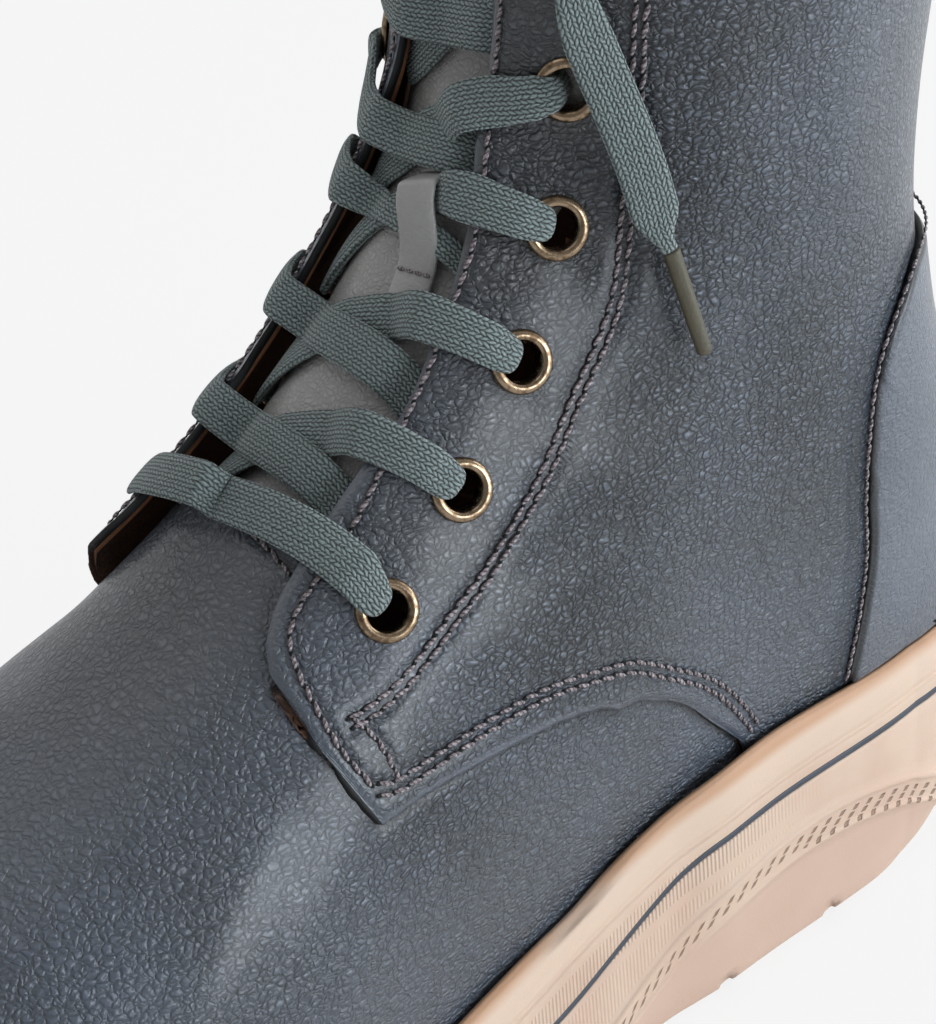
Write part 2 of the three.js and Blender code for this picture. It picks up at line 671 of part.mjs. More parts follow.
// Side of the sole at one place of the outline: pairs of outward distance and height.
// Under the arched band it tucks in towards the floor.
const wallTuck = 2.2;
const stripeBend = [34, 70];
function soleProfile({ u, point }) {
  const inside = rimInside(u);
  const feather = point.z;
  const bottom = soleBottom(point.x);
  const side = inside + beadWidth;
  const [bendFrom, bendTo] = stripeBend;
  const sink = stripeSink * smooth((point.x - bendFrom) / (bendTo - bendFrom));
  const stripe = Math.max(feather - stripeDrop - sink, bottom + 7);
  const rise = rimRise(point.x);
  const lean = 0.3 * Math.max(rise, 0);
  const wall = side + wallFlare;
  const top = clamp(archHeight(point.x), bottom + 5, stripe - 3);
  const fade = smooth((archHeight(point.x) - bottom - 4) / 4) * archRelief;
  const low = Math.max(top - archBand, bottom + 3.2);
  return [
    [inside, feather - lap - gap - 2 * slack],
    [inside + lean, feather + rise - 0.6],
    [inside + lean + 0.7, feather + rise],
    [mix(inside + lean, side, 0.6), feather + rise - 0.5],
    [side - 0.3, feather - 1.6],
    [side, feather - beadHeight * 0.55],
    [side - 0.4, feather - beadHeight],
    [side + 0.1, feather - beadHeight - 0.6],
    [wall - 0.4, stripe + stripeWidth],
    [wall - 0.4 - stripeDepth, stripe + stripeWidth],
    [wall - 0.4 - stripeDepth, stripe],
    [wall - 0.4, stripe],
    [wall, top + 0.5],
    [wall + fade, top],
    [wall + fade - wallTuck * 0.3, low + 0.5],
    [wall - wallTuck * 0.35, low],
    [wall - wallTuck - 0.8, bottom + 1.4],
    [wall - wallTuck - 2.6, bottom],
  ];
}
const ringPoint = (place, [out, z]) => place.point.clone().addScaledVector(place.out, out).setZ(z);

// A ring wall between profiles, closed by strips between the outer and the inner side
function ringSolid(profileOf, closed) {
  const profiles = ring.map(profileOf);
  const height = profiles[0].length;
  const count = ring.length;
  const points = profiles.flatMap((profile, i) => profile.map((pair) => ringPoint(ring[i], pair)));
  const triangles = [];
  const id = (i, k) => (i % count) * height + k;
  const rows = closed ? height : height - 1;
  for (let i = 0; i < count; i++) {
    for (let k = 0; k < rows; k++) {
      const n = (k + 1) % height;
      triangles.push([id(i, k), id(i + 1, k), id(i + 1, n)], [id(i, k), id(i + 1, n), id(i, n)]);
    }
  }
  if (!closed) {
    const mirror = (i) => (count - i) % count;
    const last = outlineRows.length - 1;
    for (let i = 0; i < last; i++) {
      for (const [k, flip] of [[0, false], [height - 1, true]]) {
        const [a, b, c, d] = [id(i, k), id(i + 1, k), id(mirror(i + 1), k), id(mirror(i), k)];
        const pair = [[a, c, b], [a, d, c]].filter(([p, q, r]) => p !== q && q !== r && r !== p);
        pair.forEach(([p, q, r]) => triangles.push(flip ? [p, r, q] : [p, q, r]));
      }
    }
  }
  const solid = toSolid(points, triangles);
  return solid.volume() < 0 ? toSolid(points, triangles.map(([a, b, c]) => [a, c, b])) : solid;
}

function soleSolid() {
  let sole = ringSolid(soleProfile, false);
  const firstSlot = flatFrom + treadStart;
  for (let x = firstSlot; x < flatTo + 60; x += treadPitch) {
    const slot = new THREE.BoxGeometry(treadSlot, 2 * ballWidth, 2 * treadDepth);
    slot.rotateX(0).translate(x, 0, soleBottom(x));
    sole = sole.subtract(welded(slot));
  }
  return sole;
}

function stripeSolid() {
  const profile = (place) => {
    const all = soleProfile(place);
    const [[, high], [deep], [, low], [face]] = [all[8], all[9], all[10], all[11]];
    return [[deep + gap, high - 0.1], [deep + gap, low + 0.1], [face, low + 0.1], [face, high - 0.1]];
  };
  return ringSolid(profile, true);
}

function insoleSolid() {
  const inset = -vampWall - 2 * gap;
  const round = 0.6;
  return ringSolid(({ point }) => {
    const under = point.z - lap - gap;
    return [[inset - round, under + insoleWall], [inset, under + insoleWall - round],
      [inset, under]];
  }, false);
}

// The lace. A strap starts beside one flap's edge on the tongue, crosses to the other side,
// passes over that flap's edge and ends over an eyelet; the last one to the outer side stays
// under the flap, and the lowest one lies over both flaps from eyelet to eyelet.
function strapHeight(u, v, side) {
  const edge = flapEdge(u, side);
  const past = v * side - Math.abs(edge);
  const flapTop = quarterOut(u, side * Math.max(Math.abs(v), Math.abs(edge)));
  return { past, flapTop };
}
const laceSteps = 11;
const laceSag = 2;              // droop of a crossing between the flaps
const laceStart = 2.4;          // a crossing leaves the flap this far above its eyelet
const bunched = 0.55;           // share of the lace's width under the keeper
const rowLength = (u) => lastPoint(u + 0.5, 0).distanceTo(lastPoint(u - 0.5, 0));
function crossingPath(from, to, { hump, under, kept }) {
  const startU = from.u + (kept && hump ? 1.4 : 1) * laceStart / rowLength(from.u);
  const startV = flapEdge(startU, from.side) - from.side * 0.05;
  const endU = under ? mix(startU, to.u, 0.6) : to.u;
  const endV = under ? flapEdge(endU, to.side) - to.side * 0.05 : to.v;
  const sag = (kept ? 0.3 : 1) * laceSag / rowLength(from.u);
  const path = [];
  for (let i = 0; i <= laceSteps; i++) {
    const t = i / laceSteps;
    const u = mix(startU, endU, t) - sag * Math.sin(t * Math.PI);
    const v = mix(startV, endV, t);
    const { past, flapTop } = strapHeight(u, v, to.side);
    const onFlap = under ? 0 : smooth((past + 0.08) / 0.055);
    const eyelet = smooth((t - 0.66) / 0.2) * (gap + eyeletRise);
    const middleRise = hump * laceThick * (1 - smooth((Math.abs(t - (under ? 0.5 : 0.34)) - 0.1) / 0.16));
    const low = mix(tongueOut(u) + middleRise, flapTop + eyelet, onFlap) + gap + slack;
    const narrow = kept ? mix(bunched, 1, smooth((t - 0.45) / 0.3)) : 1;
    path.push({ middle: skin(u, v, low + laceThick / 2), up: lastNormal(u, v), narrow });
  }
  return path;
}
const keptCrossing = 2;
function crossingSolid(i) {
  const last = i === eyeletCount - 2;
  const kept = i === keptCrossing;
  const lower = crossingPath(innerEyelets[i], outerEyelets[i + 1], { hump: 0, under: last, kept });
  const upper = crossingPath(outerEyelets[i], innerEyelets[i + 1], { hump: 0.8, under: false, kept });
  return strapSolid(pathFrames(lower), laceWidth, laceThick)
    .add(strapSolid(pathFrames(upper), laceWidth, laceThick));
}
function barSolid() {
  const [from, to] = [innerEyelets[0], outerEyelets[0]];
  const path = [];
  for (let i = 0; i <= laceSteps; i++) {
    const t = i / laceSteps;
    const u = mix(from.u, to.u, t) - 0.25 * Math.sin(t * Math.PI);
    const v = mix(from.v, to.v, t);
    const { flapTop } = strapHeight(u, v, v < 0 ? -1 : 1);
    const eyelet = smooth((Math.abs(2 * t - 1) - 0.6) / 0.25) * (gap + eyeletRise);
    const low = flapTop + eyelet + gap + slack;
    path.push({ middle: skin(u, v, low + laceThick / 2), up: lastNormal(u, v) });
  }
  return strapSolid(pathFrames(path), laceWidth, laceThick);
}

// The free end hangs out of the top eyelet of the outer side and lies on the leather.
// Its middle line, hand-laid; the tag goes on in the same line.
const freeEnd = [
  [40.8, 19.6, 186.4], [42.3, 20.8, 186.5], [43.6, 22.1, 186.4], [44.5, 23.6, 185.4],
  [44.7, 24.9, 182.6], [43.7, 25.7, 177.6], [42.2, 26.5, 172.6],
  [41.2, 27.7, 168.4], [40.3, 28.9, 164.4], [39.3, 30, 160], [38.3, 30.8, 155.6], [37.5, 31.4, 151.4],
  [36.8, 31.9, 147.6], [35.6, 32.4, 144.4],
].map((p) => new THREE.Vector3(...p));
const tagFrom = new THREE.Vector3(35.2, 32.5, 143.5);
const tagTo = new THREE.Vector3(32, 35.6, 127.2);
const freeUp = new THREE.Vector3(0.5, 0.86, 0.1).normalize();
const boreUp = new THREE.Vector3(0, 0, 1);
function freeEndSolid() {
  const curve = new THREE.CatmullRomCurve3(freeEnd);
  const steps = 12;
  const path = curve.getPoints(steps).map((middle, i) => ({ middle,
    up: boreUp.clone().lerp(freeUp, smooth(i / 3)).normalize(),
    narrow: mix(0.5, 1, smooth((i - 1) / 4)) * mix(1, 0.45, smooth((i - steps + 1.5) / 1.5)) }));
  return strapSolid(pathFrames(path), laceWidth, laceThick);
}
function tagSolid() {
  const along = tagTo.clone().sub(tagFrom);
  const tag = new THREE.CylinderGeometry(tagRadius, tagRadius * 0.85, tagLength, 8);
  const turn = new THREE.Quaternion().setFromUnitVectors(new THREE.Vector3(0, -1, 0),
    along.clone().normalize());
  const middle = tagFrom.clone().addScaledVector(along.normalize(), tagLength / 2);
  tag.applyQuaternion(turn).translate(middle.x, middle.y, middle.z);
  return welded(tag);
}

const group = new THREE.Group();
function add(name, solid, material) {
  const mesh = new THREE.Mesh(toGeometry(solid), material);
  mesh.name = name;
  group.add(mesh);
}

add("upper", upperSolid(), blueLeather());
add("counter", counterSolid(), blueLeather());
add("pull_loop", pullSolid(), blueLeather());
add("tongue", tongueSolid(), greyLeather());
add("tongue_keeper", keeperSolid(), greyLeather());
add("insole", insoleSolid(), lining());
add("sole", soleSolid(), tanSole());
add("pinstripe", stripeSolid(), navyStripe());
add("lace_bar", barSolid(), laceBraid());
for (let i = 0; i < eyeletCount - 1; i++) add(`lace_crossing_${i + 1}`, crossingSolid(i), laceBraid());
add("lace_end", freeEndSolid(), laceBraid());
add("lace_tag", tagSolid(), finish("#5a5a45", 0.5));
outerEyelets.forEach((place, i) => add(`eyelet_outer_${i + 1}`, eyeletSolid(place), brass()));
innerEyelets.forEach((place, i) => add(`eyelet_inner_${i + 1}`, eyeletSolid(place), brass()));

export default group;
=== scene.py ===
"""Lace-up ankle boot in pebbled blue-grey leather on a tan wedge sole, dressed for a close view.

Lengths in the making are millimetres, +X to the toe, +Y to the outer side of the left foot, +Z up.
"""

import math

import bmesh
import bpy
import numpy as np
from mathutils import Matrix, Vector
from mathutils.kdtree import KDTree


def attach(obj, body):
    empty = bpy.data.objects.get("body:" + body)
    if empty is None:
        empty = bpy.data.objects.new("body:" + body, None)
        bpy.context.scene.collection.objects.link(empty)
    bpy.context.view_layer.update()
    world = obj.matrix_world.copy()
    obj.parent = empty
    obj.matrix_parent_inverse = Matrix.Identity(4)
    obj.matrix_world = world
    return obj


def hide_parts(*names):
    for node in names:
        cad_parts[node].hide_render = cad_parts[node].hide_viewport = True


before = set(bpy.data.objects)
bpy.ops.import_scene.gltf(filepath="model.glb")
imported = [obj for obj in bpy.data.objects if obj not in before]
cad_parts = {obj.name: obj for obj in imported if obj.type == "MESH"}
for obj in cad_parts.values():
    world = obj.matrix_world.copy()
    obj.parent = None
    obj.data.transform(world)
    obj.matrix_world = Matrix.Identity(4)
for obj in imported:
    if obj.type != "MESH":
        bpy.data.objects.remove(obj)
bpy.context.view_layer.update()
MM = 0.001

# Camera: a portrait lens close to the outer front quarter, as rolled as the photograph is
camera = bpy.data.objects.new("camera", bpy.data.cameras.new("camera"))
camera.data.sensor_width = 36
camera.data.lens = 84
camera.data.clip_start = 0.01
camera.matrix_world = Matrix((
    (-0.77649, -0.38120, 0.50175, 0.24291),
    (0.62611, -0.37699, 0.68254, 0.26087),
    (-0.07103, 0.84414, 0.53140, 0.29564),
    (0, 0, 0, 1)))
bpy.context.collection.objects.link(camera)
bpy.context.scene.camera = camera
bpy.context.scene.view_settings.view_transform = "Standard"

# Sizes of the part that its dressing follows
UPPER_LENGTH = 262
BALL_WIDTH = 88
COLLAR_HEIGHT = 200
COLLAR_BACK = 184
HEEL_STACK = 48.5
BALL_STACK = 30.6
TOE_STACK = 38
LEATHER = 2.2
VAMP_WALL = 2
SEAM_STEP = 1.2
LAP = 4
GAP = 0.35
SLACK = 0.3
EYELET_RISE = 0.9
LACE_WIDTH = 7.2
LACE_THICK = 1.6

# Sections of the last, as the part's own table gives them: shares of the sizes above
RIBS = (
    # front_x front_z back_x end wide inner end_wide end_inner shift at crown
    (0.809, 0.097, 0.809, 1.00, 0.0, 0.0, 0.0, 0.0, -9.0, 0.60, 2.1),
    (0.803, 0.134, 0.803, 0.92, 13.0, 13.0, 12.0, 12.0, -9.0, 0.62, 2.1),
    (0.784, 0.175, 0.784, 0.78, 24.5, 25.5, 23.3, 24.5, -8.5, 0.66, 2.1),
    (0.748, 0.212, 0.748, 0.59, 35.2, 37.0, 34.0, 35.8, -8.0, 0.70, 2.2),
    (0.687, 0.256, 0.687, 0.27, 43.7, 45.5, 42.6, 44.3, -5.7, 0.72, 2.2),
    (0.595, 0.303, 0.599, 0.00, 49.4, 50.0, 48.3, 48.9, -2.3, 0.72, 2.2),
    (0.500, 0.360, 0.511, -0.02, 50.5, 47.2, 49.4, 46.0, 0.0, 0.74, 2.2),
    (0.415, 0.430, 0.416, -0.10, 47.7, 41.5, 46.6, 39.2, 1.1, 0.76, 2.2),
    (0.342, 0.510, 0.317, -0.32, 43.1, 36.4, 42.0, 32.4, 1.1, 0.76, 2.2),
    (0.282, 0.594, 0.206, -0.70, 39.7, 34.7, 38.1, 30.1, 1.1, 0.72, 2.2),
    (0.239, 0.665, 0.084, -0.97, 38.5, 35.8, 36.5, 33.0, 0.6, 0.62, 2.2),
    (0.214, 0.714, -0.061, -1.00, 38.5, 36.9, 35.2, 34.5, 0.0, 0.52, 2.2),
    (0.203, 0.744, -0.154, -1.00, 38.5, 37.5, 25.0, 24.6, 0.0, 0.47, 2.2),
    (0.194, 0.770, -0.192, -1.00, 38.5, 38.1, 0.0, 0.0, 0.0, 0.44, 2.2),
    (0.184, 0.800, -0.188, 0.10, 38.6, 38.6, 0.0, 0.0, 0.0, 0.42, 2.2),
    (0.177, 0.832, -0.168, 0.245, 39.1, 39.2, 0.0, 0.0, 0.0, 0.42, 2.2),
    (0.173, 0.864, -0.145, 0.385, 39.7, 39.8, 0.0, 0.0, 0.0, 0.43, 2.2),
    (0.170, 0.898, -0.130, 0.54, 40.3, 40.3, 0.0, 0.0, 0.0, 0.44, 2.2),
    (0.168, 0.932, -0.130, 0.695, 40.9, 40.9, 0.0, 0.0, 0.0, 0.45, 2.2),
    (0.166, 0.966, -0.140, 0.85, 41.5, 41.5, 0.0, 0.0, 0.0, 0.46, 2.2),
    (0.166, 1.000, -0.150, 1.00, 42.0, 42.0, 0.0, 0.0, 0.0, 0.46, 2.2),
)
HEEL_ROW = 13
HEEL_ARC_ROW = 11
LAST_ROW = len(RIBS) - 1
HEEL_POWER = 2.1


def smooth(t):
    t = np.clip(t, 0, 1)
    return t * t * (3 - 2 * t)


def mix(a, b, t):
    return a + (b - a) * t


def curve(pairs, x):
    """A smooth curve through a table of pairs that never swings past them"""
    xs, ys = np.array(pairs, float).T
    h = np.diff(xs)
    d = np.diff(ys) / h
    m = np.concatenate([[d[0]], np.zeros(len(h) - 1), [d[-1]]])
    same = d[:-1] * d[1:] > 0
    m[1:-1][same] = (2 * d[:-1] * d[1:])[same] / (d[:-1] + d[1:])[same]
    k = np.clip(np.searchsorted(xs, x) - 1, 0, len(h) - 1)
    t = np.clip((np.asarray(x, float) - xs[k]) / h[k], 0, 1)
    return ((2 * t**3 - 3 * t**2 + 1) * ys[k] + (t**3 - 2 * t**2 + t) * h[k] * m[k]
            + (3 * t**2 - 2 * t**3) * ys[k + 1] + (t**3 - t**2) * h[k] * m[k + 1])


def rib_sizes(k, row):
    front_x, front_z, back_x, end, *across, at, crown = row
    rise = (TOE_STACK if end > 0 else HEEL_STACK) - BALL_STACK
    end_z = BALL_STACK + abs(end) * rise if k <= HEEL_ROW else mix(HEEL_STACK, COLLAR_BACK, end)
    across = [value * BALL_WIDTH / 100 for value in across]
    return [front_x * UPPER_LENGTH, mix(BALL_STACK, COLLAR_HEIGHT, front_z), back_x * UPPER_LENGTH,
            end_z, *across, at, crown]


TABLE = np.array([rib_sizes(k, row) for k, row in enumerate(RIBS)])
PADDED = np.vstack([2 * TABLE[0] - TABLE[1], TABLE, 2 * TABLE[-1] - TABLE[-2]])


def rib_at(u):
    i = np.clip(np.floor(u).astype(int), 0, LAST_ROW - 1)
    t = (u - i)[..., None]
    before, a, b, after = PADDED[i], PADDED[i + 1], PADDED[i + 2], PADDED[i + 3]
    rib = 0.5 * (2 * a + (b - before) * t + (2 * before - 5 * a + 4 * b - after) * t * t
                 + (3 * a - before - 3 * b + after) * t**3)
    arc = (u > HEEL_ARC_ROW) & (u < HEEL_ROW)
    turn = (u[arc] - HEEL_ARC_ROW) / (HEEL_ROW - HEEL_ARC_ROW) * np.pi / 2
    start = TABLE[HEEL_ARC_ROW]
    rib[arc, 3] = start[3]
    rib[arc, 2] = mix(start[2], TABLE[HEEL_ROW, 2], np.sin(turn))
    for k in (6, 7):
        rib[arc, k] = start[k] * np.maximum(np.cos(turn), 0) ** 0.95
        rib[u >= HEEL_ROW, k] = 0
    return rib


def last_point(u, v):
    """The last's surface: u along the boot in rows, v from -1 (inner side) over the ridge to 1"""
    u, v = np.broadcast_arrays(np.asarray(u, float), np.asarray(v, float))
    front_x, front_z, back_x, end_z, wide, inner, end_wide, end_inner, shift, at, crown = \
        np.moveaxis(rib_at(u), -1, 0)
    half = np.abs(v)
    width = np.maximum(np.where(v >= 0, wide, inner), 1e-6)
    share = np.clip(np.where(v >= 0, end_wide, end_inner) / width, 0, 1)
    turn = np.minimum(half, 0.5) * np.pi
    upper_along = at * (1 - np.maximum(np.cos(turn), 0) ** (2 / crown))
    upper_side = width * np.sin(turn) ** (2 / crown)
    full = np.maximum(np.arccos(share ** (HEEL_POWER / 2)), 1e-3)
    turn = np.clip(2 * half - 1, 0, 1) * full
    lower_along = at + (1 - at) * (np.sin(turn) / np.sin(full)) ** (2 / HEEL_POWER)
    lower_side = width * np.maximum(np.cos(turn), 0) ** (2 / HEEL_POWER)
    along = np.where(half < 0.5, upper_along, lower_along)
    side = np.where(half < 0.5, upper_side, lower_side)
    return np.stack([mix(front_x, back_x, along), shift + np.where(v >= 0, side, -side),
                     mix(front_z, end_z, along)], -1)


def unit(a):
    return a / np.maximum(np.linalg.norm(a, axis=-1, keepdims=True), 1e-9)


def side_normal(u, v):
    du, dv = 0.03, 0.01
    u0 = np.clip(u, du, LAST_ROW)
    v0 = np.where(v >= 0, np.clip(v, dv, 1 - dv), np.clip(v, dv - 1, -dv))
    along_u = last_point(np.minimum(u0 + du, LAST_ROW), v0) - last_point(u0 - du, v0)
    along_v = last_point(u0, v0 + dv) - last_point(u0, v0 - dv)
    return -unit(np.cross(along_u, along_v))


def last_normal(u, v):
    u, v = np.broadcast_arrays(np.asarray(u, float), np.asarray(v, float))
    ridge = np.abs(v) < 0.01
    both = ridge | (u < 0.03) | ((np.abs(v) > 0.99) & (u >= HEEL_ROW))
    near = np.where(ridge, 0.01, np.abs(v))
    summed = unit(side_normal(u, near) + side_normal(u, -near))
    return np.where(both[..., None], summed, side_normal(u, v))


def skin(u, v, off):
    return last_point(u, v) + last_normal(u, v) * np.asarray(off, float)[..., None]


def arc_to_v(u, distance):
    """The places v on ribs u at arc distances from the ridge"""
    shares = np.linspace(0, 1, 121)
    out = []
    for one, far in zip(*np.broadcast_arrays(np.atleast_1d(u), np.atleast_1d(distance))):
        line = last_point(np.full(121, one), np.sign(far or 1) * shares)
        run = np.concatenate([[0], np.cumsum(np.linalg.norm(np.diff(line, axis=0), axis=1))])
        out.append(np.sign(far or 1) * np.interp(abs(far), run, shares))
    return np.array(out)


# Seams: the arch seam's row and v, the throat edge's row and arc distance from the ridge
ARCH_TIP = ((7.2, 0.185), (7.215, 0.22), (7.25, 0.262), (7.3, 0.29), (7.37, 0.325), (7.45, 0.36))
ARCH_SEAM = ((7.45, 0.36), (7.89, 0.383), (8.41, 0.418), (8.86, 0.452), (9.1, 0.474), (9.28, 0.495),
             (9.46, 0.545), (9.58, 0.605), (9.76, 0.717), (9.87, 0.839), (9.94, 0.92), (10, 1))
THROAT_EDGE = ((7.2, 23), (7.3, 19.5), (7.6, 16.6), (8.1, 15.8), (8.5, 16), (8.9, 16.6), (9.7, 15),
               (11, 12.4), (13.8, 9.2), (20, 9.5))
VAMP_END = ((0, 7.9), (0.36, 7.9), (0.4, 8.25), (0.425, 8.7), (0.46, 9.2), (0.5, 9.6), (0.58, 9.9),
            (0.65, 10.1), (0.76, 10.25), (1, 10.3))
LIFT_OUTER = ((7.2, 0.4), (7.8, 0.9), (8.6, 2.3), (11, 2.2), (20, 2))
LIFT_INNER = ((7.2, 4.6), (8.5, 4), (11, 2.6), (20, 2))
LIFT_REACH = 0.17
EYELET_LINE = ((7, 32), (9, 29.6), (12, 23.8), (16, 20), (20, 20))
FIRST_EYELET_ROW = 8.08
EYELET_PITCH = 20
EYELETS = 6

FINE_U = np.linspace(7.2, LAST_ROW, 400)
FLAP_V = {side: arc_to_v(FINE_U, side * curve(THROAT_EDGE, FINE_U)) for side in (1, -1)}


def flap_edge(u, side):
    return np.interp(u, FINE_U, FLAP_V[side])


def flap_lift(u, v):
    outer = v >= 0
    edge = np.where(outer, flap_edge(u, 1), -flap_edge(u, -1))
    lift = np.where(outer, curve(LIFT_OUTER, u), curve(LIFT_INNER, u))
    return lift * (1 - smooth((np.abs(v) - edge) / LIFT_REACH))


def quarter_out(u, v):
    return SEAM_STEP + flap_lift(u, v)


def eyelet_places(side):
    """Rows and places v of the eyelets of one side, a pitch apart"""
    u = np.arange(FIRST_EYELET_ROW, LAST_ROW, 0.05)
    v = arc_to_v(u, side * np.interp(u, *np.array(EYELET_LINE).T))
    points = skin(u, v, quarter_out(u, v))
    run = np.concatenate([[0], np.cumsum(np.linalg.norm(np.diff(points, axis=0), axis=1))])
    picks = [int(np.argmax(run >= k * EYELET_PITCH)) for k in range(EYELETS)]
    return [(float(u[k]), float(v[k])) for k in picks]


def flap_frame(u, v):
    """The flap's surface point and outward direction, with its lift"""
    d = 0.02
    at = lambda a, b: skin(np.array(a), np.array(b), quarter_out(np.array(a), np.array(b)))
    normal = -unit(np.cross(at(u + d, v) - at(u - d, v), at(u, v + d) - at(u, v - d)))
    return at(u, v), normal


def link(name, mesh, material, node=()):
    """An object of a finished mesh that rides on the boot and stands for CAD nodes"""
    made = bpy.data.objects.new(name, mesh)
    bpy.context.collection.objects.link(made)
    for one in material if isinstance(material, (list, tuple)) else [material]:
        mesh.materials.append(one)
    mesh.shade_smooth()
    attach(made, "root")
    if node:
        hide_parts(*([node] if isinstance(node, str) else node))
    return made


def sheet(name, across, along, place, outward=None, maps=()):
    """A grid of quads laid out by place(s, t), its doubles merged and its faces turned outwards.
    place gives the points in millimetres and a list of values for the maps and attributes"""
    bm = bmesh.new()
    bmesh.ops.create_grid(bm, x_segments=across, y_segments=along, size=0.5)
    mesh = bpy.data.meshes.new(name)
    bm.to_mesh(mesh)
    bm.free()
    co = np.empty(len(mesh.vertices) * 3)
    mesh.vertices.foreach_get("co", co)
    s, t = np.clip(co.reshape(-1, 3)[:, :2].T + 0.5, 0, 1)
    points, values = place(s, t)
    mesh.vertices.foreach_set("co", (points * MM).ravel())
    corner = np.empty(len(mesh.loops), int)
    mesh.loops.foreach_get("vertex_index", corner)
    for title, value in zip(maps, values):
        if value.ndim == 2:
            layer = mesh.uv_layers.new(name=title)
            layer.data.foreach_set("uv", value[corner].ravel())
        else:
            mesh.attributes.new(title, "FLOAT", "POINT").data.foreach_set("value", value)
    bm = bmesh.new()
    bm.from_mesh(mesh)
    bmesh.ops.remove_doubles(bm, verts=bm.verts, dist=2e-6)
    if outward is None:
        bmesh.ops.recalc_face_normals(bm, faces=bm.faces)
    else:
        bm.normal_update()
        bm.faces.ensure_lookup_table()
        middle = bm.faces[len(bm.faces) // 2 + across // 3]
        if middle.normal.dot(Vector(outward(middle.calc_center_median() / MM))) < 0:
            bmesh.ops.reverse_faces(bm, faces=bm.faces)
    bm.to_mesh(mesh)
    bm.free()
    return mesh


def nearest(points, targets):
    """Distance of each point to the nearest target"""
    tree = KDTree(len(targets))
    for k, target in enumerate(targets):
        tree.insert(target, k)
    tree.balance()
    find = tree.find
    return np.array([find(point)[2] for point in points])


def along_path(points, step):
    """A path resampled at even steps"""
    run = np.concatenate([[0], np.cumsum(np.linalg.norm(np.diff(points, axis=0), axis=1))])
    at = np.linspace(0, run[-1], max(int(run[-1] / step), 2) + 1)
    return np.stack([np.interp(at, run, points[:, k]) for k in range(points.shape[1])], 1)


# Materials
def colour(code):
    """An sRGB hex value as the shader's linear colour"""
    parts = [int(code[k:k + 2], 16) / 255 for k in (1, 3, 5)]
    return tuple(c / 12.92 if c <= 0.04045 else ((c + 0.055) / 1.055) ** 2.4 for c in parts) + (1,)


# What each kind of node usually has here: its settings, its inputs' order and its result
USUAL = {"MapRange": ({"interpolation_type": "SMOOTHSTEP"}, range(5), 0),
         "Mix": ({"data_type": "RGBA"}, (0, 6, 7), 2)}


def add(tree, kind, *inputs, **settings):
    """Adds a node with its settings; a kind in capitals is an operation of the Math node.
    Inputs in order give back its result, and a dictionary of inputs, or none, the node itself"""
    plain = ({"operation": kind} if kind.isupper() else {}, range(3), 0)
    usual, order, result = USUAL.get(kind, plain)
    made = tree.nodes.new("ShaderNode" + ("Math" if kind.isupper() else kind))
    for name, value in {**usual, **settings}.items():
        setattr(made, name, value)
    named = not inputs or isinstance(inputs[0], dict)
    for name, value in (dict(*inputs) if named else dict(zip(order, inputs))).items():
        if isinstance(value, bpy.types.NodeSocket):
            tree.links.new(value, made.inputs[name])
        else:
            made.inputs[name].default_value = value
    return made if named else made.outputs[result]


def millimetres(tree, scale=(1000, 1000, 1000)):
    """The place on the boot in millimetres"""
    place = add(tree, "TexCoord").outputs["Object"]
    return add(tree, "Mapping", {"Vector": place, "Scale": scale}).outputs[0]


def dress(tree, main, tone, height, distance):
    """The main shader's colour, and its relief, of which height 1 is a distance in millimetres"""
    bump = add(tree, "Bump", {"Height": height, "Distance": distance * MM})
    tree.links.new(tone, main.inputs["Base Color"])
    tree.links.new(bump.outputs[0], main.inputs["Normal"])


def shader(name, **values):
    """A new material with its main shader, and its tree"""
    material = bpy.data.materials.new(name)
    material.use_nodes = True
    tree = material.node_tree
    main = tree.nodes["Principled BSDF"]
    for key, value in values.items():
        main.inputs[key.replace("_", " ")].default_value = value
    return material, tree, main


